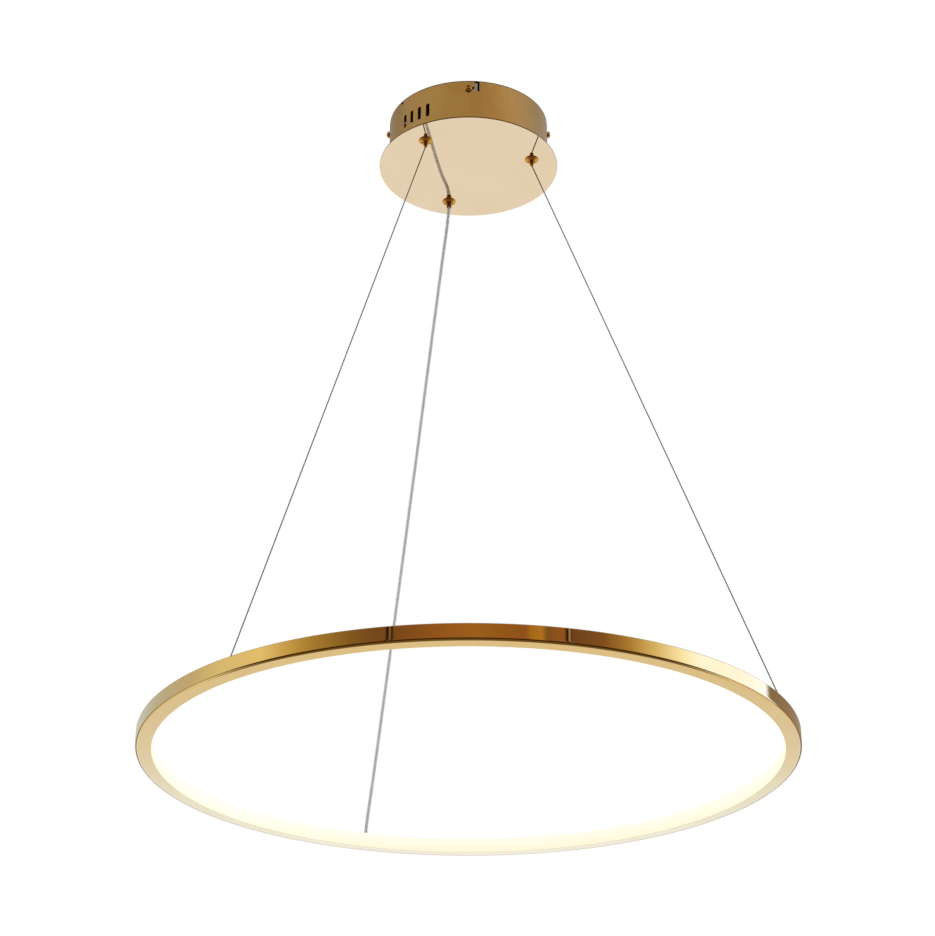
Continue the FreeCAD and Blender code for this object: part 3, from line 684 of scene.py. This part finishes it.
# In millimetres, as the turned outlines are.
DRUM_WALL = 0.9
DRUM_FOOT_ROUNDING = 0.7
DRUM_FLOOR_ROUNDING = 0.4
DRUM_EDGE_ROUNDINGS = (0.45, 0.15)
PLATE_ROUNDING = 0.3
STEM_HOLE = 4.95
STEM_CUT_REACH = 3.0


def slot_cutter(azimuth, near, far):
    """An L-shaped slot: a round seat for the screw and a way in from above beside it."""
    out = DRUM_RADIUS * math.sin(math.radians(SLOT_TURN))
    low, high = -SCREW_DROP - SLOT_HALF, -SCREW_DROP + SLOT_HALF
    corners = [(out + SLOT_HALF, low), (out + SLOT_HALF, CUT_ABOVE),
               (out - SLOT_HALF, CUT_ABOVE), (out - SLOT_HALF, high)]
    corners += arc(0, -SCREW_DROP, SLOT_HALF, 90, 270)
    return prism_mesh("slot", corners, azimuth, near, far)


def vent_cutter(azimuth, near, far):
    """An upright slot with round ends."""
    half = VENT_HEIGHT / 2 - VENT_WIDTH / 2
    corners = arc(0, -VENT_DROP + half, VENT_WIDTH / 2, 0, 180)
    corners += arc(0, -VENT_DROP - half, VENT_WIDTH / 2, 180, 360)
    return prism_mesh("vent", corners, azimuth, near, far)


def notch_cutter(near, far):
    """A square notch in the drum's top edge."""
    side = NOTCH_WIDTH / 2
    corners = [(-side, -NOTCH_DEPTH), (side, -NOTCH_DEPTH), (side, CUT_ABOVE),
               (-side, CUT_ABOVE)]
    return prism_mesh("notch", corners, NOTCH_AZIMUTH, near, far)


def stem_cutters(level):
    """Cutters for the grippers' stems through a sheet at this level."""
    outline = [Vector((0, -STEM_CUT_REACH)), Vector((STEM_HOLE, -STEM_CUT_REACH)),
               Vector((STEM_HOLE, STEM_CUT_REACH)), Vector((0, STEM_CUT_REACH))]
    return [turned_mesh("stem", outline, SMALL_STEPS, closed=False,
                        centre=polar(GRIPPER_CIRCLE, AZIMUTH[side], level))
            for side in SIDES]


def make_drum(metal, edge_shade_metal):
    radius = DRUM_RADIUS / MM
    foot = DRUM_FOOT / MM
    inside = radius - DRUM_WALL
    outer_rounding, inner_rounding = DRUM_EDGE_ROUNDINGS
    outline = rounded([(0, foot, 0), (radius, foot, DRUM_FOOT_ROUNDING),
                       (radius, 0, outer_rounding), (inside, 0, inner_rounding),
                       (inside, foot + DRUM_WALL, DRUM_FLOOR_ROUNDING),
                       (0, foot + DRUM_WALL, 0)])
    drum = piece("canopy_drum", turned_mesh("canopy_drum", outline, DRUM_STEPS, closed=False))
    near, far = DRUM_RADIUS - CUT_REACH, DRUM_RADIUS + CUT_REACH
    cutters = [slot_cutter(azimuth, near, far) for azimuth in SCREW_AZIMUTHS]
    for group in (0, 180):
        for index in range(VENT_COUNT):
            azimuth = VENT_AZIMUTH + index * VENT_PITCH + group
            cutters.append(vent_cutter(azimuth, near, far))
    cutters.append(notch_cutter(near, far))
    cutters += stem_cutters(DRUM_FOOT)
    cut_out(drum, cutters)
    keep(drum, "canopy", metal, "canopy_housing")
    # Faces inside the wall, well over the floor, are cut edges of the sheet. The dark edge
    # material on them is painted shade inside the vents, slots and notch.
    drum.data.materials.append(edge_shade_metal)
    for polygon in drum.data.polygons:
        off = abs(polygon.center.to_2d().length - DRUM_RADIUS + DRUM_WALL * MM / 2)
        cut = off < DRUM_WALL * MM / 3 and polygon.center.z > DRUM_FOOT + 2 * MM
        polygon.material_index = int(cut)


def make_plate(metal, edge_shade_metal):
    low, high = plate_low[2] / MM, plate_high[2] / MM
    edge = PLATE_RADIUS / MM
    outline = rounded([(0, low, 0), (edge, low, PLATE_ROUNDING), (edge, high, PLATE_ROUNDING),
                       (0, high, 0)])
    plate = piece("canopy_mirror_plate",
                  turned_mesh("canopy_mirror_plate", outline, DRUM_STEPS, closed=False))
    cut_out(plate, stem_cutters(PLATE_FACE))
    keep(plate, "canopy", metal, "canopy_plate")
    # Faces that look sideways are the sheet's cut edge. The dark edge material on them is
    # painted shade along the rim.
    plate.data.materials.append(edge_shade_metal)
    for polygon in plate.data.polygons:
        polygon.material_index = int(abs(polygon.normal.z) < 0.3)


# Side screws, in millimetres along and across their own axis.
HEAD_RADIUS = 3.6
HEAD_HEIGHT = 3.0
HEAD_RIM = 0.25
THREAD_RADIUS = 1.95
THREAD_LENGTH = 9.0
SCREW_PLAY = 0.3
RECESS_LENGTH = 3.4
RECESS_WIDTH = 0.7
RECESS_DEPTH = 1.2


def recess_bar(wide, tall, top):
    """One bar of a screw's crossed recess, sunk into the head from its top."""
    bar = bmesh.new()
    bmesh.ops.create_cube(bar, size=1.0, matrix=Matrix.Translation((0, 0, top))
                          @ Matrix.Diagonal((wide * MM, tall * MM, 2 * RECESS_DEPTH * MM, 1)))
    return finished(bar, "recess")


def make_side_screws(metal):
    """Domed screws with a crossed recess, their axes pointing outwards."""
    neck = DRUM_RADIUS / MM + SCREW_PLAY
    start = neck - THREAD_LENGTH
    dome = [(HEAD_RADIUS * math.cos(math.radians(a)),
             neck + HEAD_HEIGHT * math.sin(math.radians(a)) + HEAD_RIM)
            for a in range(10, 90, 10)]
    outline = [(0.0, start), (THREAD_RADIUS, start), (THREAD_RADIUS, neck),
               (HEAD_RADIUS - HEAD_RIM, neck), (HEAD_RADIUS, neck + HEAD_RIM), *dome,
               (0.0, neck + HEAD_HEIGHT - 0.02)]
    points = [Vector(point) for point in outline]
    top = (neck + HEAD_HEIGHT) * MM
    for index, azimuth in enumerate(SCREW_AZIMUTHS):
        # The screw is turned upright and then laid outwards.
        screw = piece(f"side_screw_{index}",
                      turned_mesh(f"side_screw_{index}", points, SCREW_STEPS, closed=False))
        cut_out(screw, [recess_bar(RECESS_LENGTH, RECESS_WIDTH, top),
                        recess_bar(RECESS_WIDTH, RECESS_LENGTH, top)])
        screw.data.transform(Matrix.Translation((0, 0, -SCREW_DROP))
                             @ Matrix.Rotation(math.radians(azimuth), 4, "Z")
                             @ Matrix.Rotation(math.radians(90), 4, "Y"))
        keep(screw, "bracket", metal, "side_screws")


# ------------------------------------------------------------------ grippers
# Radii and heights over the plate's face, in millimetres. What hangs under it is negative.
NOZZLE_RADIUS = {"left": 2.15, "right": 2.15, "rear": 2.75}
PASSAGE = {"left": 0.8, "right": 0.8, "rear": 2.05}
NOZZLE_LIP = {"left": 0.35, "right": 0.35, "rear": 0.6}
NOZZLE_TIP = -7.4
NOZZLE_TOP = 6.0
NOZZLE_PLAY = 0.1
NOSE_WALL = 0.45
NOSE_TIP = -4.0
FLANGE_RADIUS = 7.0
SWEEP_STEPS = 10
STEM_RADIUS = 4.9
STEM_TOP = 8.0
SPRING_TOP = 12.0
SPRING_WIRE = 0.25 * MM
SPRING_TURNS = 5
SPRING_STEPS = 20


def make_gripper_body(side, centre, metal):
    bore = NOZZLE_RADIUS[side] + NOZZLE_PLAY
    nose = bore + NOSE_WALL
    # The trumpet sweeps from the nose out to the flange's thin rim.
    sweep = []
    start, middle, end = Vector((nose, -3.7)), Vector((nose, -1.1)), Vector((6.7, -0.8))
    for step in range(SWEEP_STEPS + 1):
        t = step / SWEEP_STEPS
        sweep.append(start * (1 - t) ** 2 + middle * 2 * t * (1 - t) + end * t * t)
    nose_end = [(bore, NOSE_TIP), (nose - 0.2, NOSE_TIP), (nose, NOSE_TIP + 0.2)]
    rim = [(FLANGE_RADIUS - 0.1, -0.7), (FLANGE_RADIUS, -0.55), (FLANGE_RADIUS, -0.15),
           (FLANGE_RADIUS - 0.1, -0.02), (FLANGE_RADIUS - 0.2, 0.0)]
    stem = [(STEM_RADIUS, 0.0), (STEM_RADIUS, STEM_TOP), (3.2, STEM_TOP),
            (bore, 1.5)]
    outline = [Vector(point) for point in (*nose_end, *sweep, *rim, *stem)]
    body = piece(f"gripper_body_{side}",
                 turned_mesh(f"gripper_body_{side}", outline, SMALL_STEPS, centre=centre))
    keep(body, "canopy", metal, "gripper_bodies")


def make_release_nozzle(side, centre, metal):
    passage, nozzle = PASSAGE[side], NOZZLE_RADIUS[side]
    tube = rounded([(passage, NOZZLE_TIP, 0.2), (nozzle, NOZZLE_TIP, NOZZLE_LIP[side]),
                    (nozzle, NOZZLE_TOP, 0.1), (passage, NOZZLE_TOP, 0.1)])
    plunger = piece(f"release_plunger_{side}",
                    turned_mesh(f"release_plunger_{side}", tube, SMALL_STEPS, centre=centre))
    keep(plunger, f"nozzle_{side}", metal, f"release_nozzle_{side}")


def make_release_spring(side, centre, steel):
    """A coil between the nozzle's top and the cap nut."""
    radius = NOZZLE_RADIUS[side] * MM - SPRING_WIRE
    foot, top = NOZZLE_TOP * MM + SPRING_WIRE, SPRING_TOP * MM - SPRING_WIRE
    count = SPRING_TURNS * SPRING_STEPS
    points = [centre + polar(radius, 360.0 * step / SPRING_STEPS,
                             foot + (top - foot) * step / count)
              for step in range(count + 1)]
    coil = piece(f"release_spring_{side}",
                 swept_mesh(f"release_spring_{side}", points, circle_section(SPRING_WIRE, 8)))
    coil.data.materials.append(steel)
    stretch_between(coil,
                    centre + Vector((0, 0, NOZZLE_TOP * MM)),
                    centre + Vector((0, 0, SPRING_TOP * MM)))
    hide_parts(f"gripper_spring_{side}")


def make_grippers(metal, steel):
    for side in SIDES:
        centre = polar(GRIPPER_CIRCLE, AZIMUTH[side], PLATE_FACE)
        make_gripper_body(side, centre, metal)
        make_release_nozzle(side, centre, metal)
        make_release_spring(side, centre, steel)


# ------------------------------------------------------------------ ring
# In millimetres, as the turned outlines are.
INNER_EDGE_ROUNDING = 0.1
LOWER_EDGE_ROUNDING = 2.2
UPPER_EDGE_ROUNDING = 0.5
LINE_HOLE = {"left": 1.2, "right": 1.2, "rear": 2.7}
LINE_HOLE_REACH = 3.0


def make_ring(metal):
    inner = (RING_RADIUS - RING_WIDTH) / MM
    outer = RING_RADIUS / MM
    wall = RING_WALL / MM
    foot, top = RING_FOOT / MM, RING_TOP / MM
    outline = rounded([
        (inner, foot, INNER_EDGE_ROUNDING), (outer, foot, LOWER_EDGE_ROUNDING),
        (outer, top, UPPER_EDGE_ROUNDING), (inner, top, INNER_EDGE_ROUNDING),
        (inner, top - wall, 0.3), (outer - wall, top - wall, 0.2),
        (outer - wall, foot + wall, 0.2), (inner, foot + wall, 0.3)])
    ring = piece("ring_channel", turned_mesh("ring_channel", outline, RING_STEPS))
    cutters = []
    for side, radius in LINE_HOLE.items():
        hole = [Vector(p) for p in ((0, -LINE_HOLE_REACH), (radius, -LINE_HOLE_REACH),
                                    (radius, LINE_HOLE_REACH), (0, LINE_HOLE_REACH))]
        cutters.append(turned_mesh("hole", hole, HOLE_STEPS, closed=False,
                                   centre=polar(LINE_CIRCLE, FOOT_AZIMUTH[side], RING_TOP)))
    cut_out(ring, cutters)
    keep(ring, "ring", metal, "ring_profile")


DIFFUSER_LAP = 0.45
DIFFUSER_CROWN = 0.25
DIFFUSER_BODY = 3.75
DIFFUSER_INSET = 0.04
DIFFUSER_SEAT = 0.02
CROWN_STEPS = 8


def make_diffuser(opal):
    """The opal strip: a body inside the channel and a face that laps over both flanges."""
    edge = (RING_RADIUS - RING_WIDTH) / MM
    low, high = diffuser_low[2] / MM, diffuser_high[2] / MM
    foot, top = RING_FOOT / MM + DIFFUSER_INSET, RING_TOP / MM - DIFFUSER_INSET
    face = edge - DIFFUSER_LAP
    seat, back = edge - DIFFUSER_SEAT, edge + DIFFUSER_BODY
    crown = [(face + DIFFUSER_CROWN * (2 * i / CROWN_STEPS - 1) ** 2,
              top + (foot - top) * i / CROWN_STEPS) for i in range(CROWN_STEPS + 1)]
    outline = [Vector(p) for p in ((seat, foot), (seat, low), (back, low), (back, high),
                                   (seat, high), (seat, top), *crown)]
    strip = piece("opal_diffuser", turned_mesh("opal_diffuser", outline, RING_STEPS),
                  SOFT_EDGE_ANGLE)
    keep(strip, "ring", opal, "ring_diffuser")


CHIP_COUNT = 60
CHIP_DEPTH = 0.7 * MM
CHIP_LENGTH = 3.5 * MM
CHIP_HEIGHT = 2.8 * MM
CHIP_SLOPE = 0.25 * MM
CHIP_SUNK = 0.01 * MM
STRIP_THICKNESS = 0.3 * MM


def make_chips(phosphor):
    """Light chips on the flats of the strip: low boxes with sloped sides."""
    half_step = math.pi / CHIP_COUNT
    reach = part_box("lamp_strip")[1][0]
    seat = (reach - STRIP_THICKNESS / math.cos(half_step)) * math.cos(half_step)
    middle = (RING_FOOT + RING_TOP) / 2
    mesh = bmesh.new()
    for index in range(CHIP_COUNT):
        turn = Matrix.Rotation(half_step * (2 * index + 1), 3, "Z")
        rows = []
        for inset, radius in ((0.0, seat - CHIP_SUNK), (CHIP_SLOPE, seat - CHIP_DEPTH)):
            y, z = CHIP_LENGTH / 2 - inset, CHIP_HEIGHT / 2 - inset
            rows.append([mesh.verts.new(turn @ Vector((radius, a * y, middle + b * z)))
                         for a, b in ((-1, -1), (1, -1), (1, 1), (-1, 1))])
        mesh.faces.new(rows[0])
        mesh.faces.new(rows[1])
        for i in range(4):
            j = (i + 1) % 4
            mesh.faces.new((rows[0][i], rows[0][j], rows[1][j], rows[1][i]))
    chips = piece("light_chips", finished(mesh, "light_chips"))
    chips.data.materials.append(phosphor)
    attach(chips, "ring")


# ------------------------------------------------------------------ plain nodes
def paint(node, material):
    """Gives a node of the frame its material."""
    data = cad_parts[node].data
    data.materials.clear()
    data.materials.append(material)


# ------------------------------------------------------------------ studio
FLOOR_LEVEL = -2.45
FLOOR_REACH = 8.0
SHADE_DISC_INSET = 0.1 * MM
SHADE_DISC_RISE = 0.5 * MM
SHADE_DISC_STEPS = 360


def make_floor():
    mesh = bpy.data.meshes.new("studio_floor")
    corners = [(x * FLOOR_REACH, y * FLOOR_REACH, FLOOR_LEVEL)
               for x, y in ((-1, -1), (1, -1), (1, 1), (-1, 1))]
    mesh.from_pydata(corners, [], [(0, 1, 2, 3)])
    floor = bpy.data.objects.new("studio_floor", mesh)
    bpy.context.collection.objects.link(floor)
    material, tree, shader = start_material("studio_floor", Roughness=0.8)
    follow(tree, shader, pattern(tree, "TexNoise", 400.0),
           tint=[(0.3, "EFEFEC"), (0.7, "F4F4F2")])
    mesh.materials.append(material)
    floor.visible_glossy = False


def make_painted_shade_disc():
    """A dark disc where the ceiling closes the drum's top, painted shade for the canopy's
    inside: the camera sees it from below through the vents, and it is clear from above and to
    all light.
    """
    mesh = bpy.data.meshes.new("canopy_shade_disc")
    # It runs clockwise, so that its face looks down.
    edge = [polar(DRUM_RADIUS - SHADE_DISC_INSET, -step, SHADE_DISC_RISE)
            for step in range(SHADE_DISC_STEPS)]
    mesh.from_pydata(edge, [], [tuple(range(SHADE_DISC_STEPS))])
    shade_disc = piece("canopy_shade_disc", mesh)
    # Its near black colour is painted shade.
    material, tree, shader = start_material(
        "canopy_shade_disc", Base_Color=colour("1A1613"), Roughness=0.9)
    seen = add(tree, "LightPath").outputs["Is Camera Ray"]
    above = add(tree, "NewGeometry").outputs["Backfacing"]
    below = add(tree, "Math", {"operation": "SUBTRACT", 0: 1.0}, {1: above})
    shown = add(tree, "Math", {"operation": "MULTIPLY"}, {0: seen, 1: below.outputs[0]})
    clear = add(tree, "BsdfTransparent")
    mix = add(tree, "MixShader", links={0: shown.outputs[0], 1: clear.outputs[0],
                                        2: shader.outputs[0]})
    out = tree.nodes["Material Output"]
    tree.links.new(mix.outputs[0], out.inputs["Surface"])
    shade_disc.data.materials.append(material)


# What stands round the lamp, as (azimuth from the front, red, green, blue) at the height
# of the ring's reflections: a cool soft box on the right and a warm one on the left.
SIDES_ROUND = [
    (-180, 0.65, 0.70, 0.70), (-169, 0.55, 0.60, 0.60), (-158, 0.65, 0.70, 0.65),
    (-148, 0.63, 0.71, 0.80), (-128, 0.61, 0.65, 0.70), (-108, 0.68, 0.65, 0.62),
    (-92, 0.90, 0.85, 0.70), (-74, 1.00, 0.90, 0.65), (-64, 0.75, 0.60, 0.30),
    (-54, 0.52, 0.36, 0.12), (-40, 0.30, 0.18, 0.07), (40, 0.25, 0.12, 0.06),
    (46, 0.28, 0.14, 0.06), (55, 0.53, 0.34, 0.12), (65, 0.90, 0.78, 0.50),
    (76, 1.25, 1.35, 1.55), (84, 1.40, 1.65, 2.70), (121, 1.40, 1.70, 3.10),
    (124, 0.30, 0.23, 0.16), (150, 0.36, 0.27, 0.22), (165, 0.40, 0.35, 0.26),
    (180, 0.60, 0.60, 0.54)]
# In front stands a dim brown panel between two posts, each with a gap on both sides.
GAP = (0.03, 0.01, 0.00)
LEFT_POST = (0.30, 0.19, 0.12)
RIGHT_POST = (0.45, 0.32, 0.26)
FRONT = [
    (-40, 0.30, 0.18, 0.07), (-32, 0.24, 0.12, 0.05), (-27.6, 0.24, 0.11, 0.05),
    (-27.3, *GAP), (-26.6, *GAP), (-26.3, *LEFT_POST), (-25.9, *LEFT_POST),
    (-25.6, *GAP), (-25.2, *GAP), (-24.9, 0.24, 0.11, 0.05), (-8, 0.40, 0.17, 0.05),
    (2, 0.43, 0.20, 0.05), (11, 0.38, 0.17, 0.04), (19, 0.37, 0.15, 0.06),
    (20.5, 0.50, 0.25, 0.05), (24.2, 0.60, 0.30, 0.06), (26, 0.28, 0.15, 0.05),
    (31.6, 0.38, 0.16, 0.06), (32.3, 0.30, 0.13, 0.05), (32.7, *GAP), (33.3, *GAP),
    (33.6, *RIGHT_POST), (34.1, *RIGHT_POST), (34.2, *GAP), (34.5, *GAP),
    (34.7, 0.20, 0.10, 0.05), (40, 0.25, 0.12, 0.06)]
FRONT_REACH = 40
# The same higher up, where the drum's wall reflects.
OVERHEAD = [
    (-180, 0.36, 0.37, 0.38), (-120, 0.38, 0.38, 0.35), (-85, 0.53, 0.53, 0.55),
    (-45, 0.53, 0.51, 0.45), (-20, 0.51, 0.48, 0.38), (15, 0.50, 0.44, 0.36),
    (45, 0.60, 0.53, 0.46), (62, 0.62, 0.60, 0.60), (80, 0.60, 0.58, 0.66),
    (110, 0.43, 0.46, 0.52), (180, 0.42, 0.43, 0.44)]
# Below the horizon behind the lamp, as (steepness, red, green, blue): a dark skirting, a
# bright floor that the ring's underside and the plate reflect, and the dark under the lamp.
BEHIND = [
    (0.05, 0.34, 0.25, 0.15), (0.25, 0.34, 0.25, 0.15), (0.265, 1.10, 1.30, 1.90),
    (0.285, 1.10, 1.30, 1.90), (0.30, 1.00, 1.20, 1.65), (0.315, 0.94, 1.00, 1.15),
    (0.33, 0.88, 0.88, 0.92), (0.35, 0.90, 0.87, 0.80), (0.37, 0.93, 0.86, 0.76),
    (0.50, 0.93, 0.90, 0.86), (0.64, 0.93, 0.90, 0.86), (0.72, 0.24, 0.17, 0.09),
    (1.00, 0.20, 0.13, 0.07)]
# Ahead of the lamp and below the horizon it is dark, with a little light from right below.
BEFORE = [(0.50, 0.03, 0.01, 0.00), (0.75, 0.18, 0.12, 0.06)]
ZENITH = (0.10, 0.08, 0.06, 1.0)
WHITE = (1.0, 1.0, 1.0, 1.0)
# The heights, as sines, between which the surroundings go over into what is higher up, and
# how far towards the front the floor behind goes over into the dark ahead.
HORIZON = (0.0, 0.08)
INTO_OVERHEAD = (0.376, 0.42)
INTO_ZENITH = (0.76, 0.86)
BEHIND_TO_BEFORE = (-0.15, 0.15)


def look_up(tree, value, table, low=0.0, high=1.0):
    """The colour that a table, whose rows run from low to high, has at a value."""
    if (low, high) != (0.0, 1.0):
        share = add(tree, "MapRange", {"From Min": low, "From Max": high}, {"Value": value})
        value = share.outputs["Result"]
    stops = [((at - low) / (high - low), (*rgb, 1.0)) for at, *rgb in table]
    return add(tree, "ValToRGB", links={"Fac": value}, stops=stops).outputs["Color"]


def fade(tree, source, span, below, above):
    """One colour under the span of a value and another over it."""
    start, end = span
    share = add(tree, "MapRange", {"From Min": start, "From Max": end}, {"Value": source})
    mix = add(tree, "MixRGB", links={"Fac": share.outputs["Result"], "Color1": below})
    if isinstance(above, tuple):
        mix.inputs["Color2"].default_value = above
    else:
        tree.links.new(above, mix.inputs["Color2"])
    return mix.outputs["Color"]


def make_surroundings():
    """World light for what the lamp reflects. The camera itself sees plain white."""
    world = bpy.data.worlds.new("studio")
    world.use_nodes = True
    bpy.context.scene.world = world
    tree = world.node_tree
    tree.nodes.clear()
    heading = add(tree, "SeparateXYZ",
                  links={"Vector": add(tree, "TexCoord").outputs["Generated"]})
    across, back, height = heading.outputs
    front = add(tree, "Math", {"operation": "MULTIPLY", 1: -1.0}, {0: back})
    depth = add(tree, "Math", {"operation": "MULTIPLY", 1: -1.0}, {0: height})
    turn = add(tree, "Math", {"operation": "ARCTAN2"}, {0: across, 1: front.outputs[0]})
    azimuth = add(tree, "Math", {"operation": "DEGREES"}, {0: turn.outputs[0]}).outputs[0]
    off = add(tree, "Math", {"operation": "ABSOLUTE"}, {0: azimuth}).outputs[0]
    around = fade(tree, off, (FRONT_REACH - 0.1, FRONT_REACH),
                  look_up(tree, azimuth, FRONT, -FRONT_REACH, FRONT_REACH),
                  look_up(tree, azimuth, SIDES_ROUND, -180, 180))
    upper = fade(tree, height, INTO_OVERHEAD, around,
                 look_up(tree, azimuth, OVERHEAD, -180, 180))
    upper = fade(tree, height, INTO_ZENITH, upper, ZENITH)
    behind = look_up(tree, depth.outputs[0], BEHIND)
    before = look_up(tree, depth.outputs[0], BEFORE)
    lower = fade(tree, front.outputs[0], BEHIND_TO_BEFORE, behind, before)
    whole = fade(tree, height, HORIZON, lower, upper)
    path = add(tree, "LightPath")
    direct = add(tree, "Math", {"operation": "MAXIMUM"},
                 {0: path.outputs["Is Camera Ray"], 1: path.outputs["Is Transmission Ray"]})
    seen = fade(tree, direct.outputs[0], (0.0, 1.0), whole, WHITE)
    background = add(tree, "Background", links={"Color": seen})
    out = add(tree, "OutputWorld")
    tree.links.new(background.outputs[0], out.inputs["Surface"])
    bpy.context.scene.view_settings.view_transform = "Standard"


def floor_wash():
    """A wide soft light under the lamp that only brightens the floor."""
    data = bpy.data.lights.new("floor_wash", "AREA")
    data.shape = "SQUARE"
    data.size = 10.0
    data.energy = 200.0
    light = bpy.data.objects.new("floor_wash", data)
    bpy.context.collection.objects.link(light)
    light.location = (0.0, 0.0, -1.6)
    light.visible_camera = False
    light.visible_glossy = False


# ------------------------------------------------------------------ everything
make_camera()
brass = polished_brass()
zinc = zinc_plated_steel()
wire_steel = stainless_wire()
make_wires(wire_steel)
make_power_cord(clear_jacket(), milky_insulation(), tinned_core())
shaded_edge_material = shaded_edge_gold()
make_drum(satin_gold_steel(), shaded_edge_material)
make_plate(mirror_gold_steel(), shaded_edge_material)
make_side_screws(brass)
make_grippers(brass, spring_steel())
make_ring(polished_gold_aluminium())
make_diffuser(lit_opal_silicone())
make_chips(phosphor_chip())

white_case = moulded_white("moulded_abs_case", "E6E6E1", "EFEFEA", 0.4)
for node, material in {
        "ceiling_bracket": zinc, "cap_nuts": zinc, "ring_joint_plate": zinc,
        "wire_ferrule_left": zinc, "wire_ferrule_right": zinc,
        "wire_tail_left": wire_steel, "wire_tail_right": wire_steel,
        "cord_bush_rear": brass, "driver_base": white_case, "driver_cover": white_case,
        "terminal_block": moulded_white("moulded_nylon", "DEDDD4", "E8E7DF", 0.35),
        "driver_board": green_board(), "driver_transformer": winding_tape(),
        "driver_capacitors": film_capacitor(), "driver_pad": foam_tape(),
        "lamp_strip": flexible_board()}.items():
    paint(node, material)

make_floor()
make_painted_shade_disc()
make_surroundings()
floor_wash()
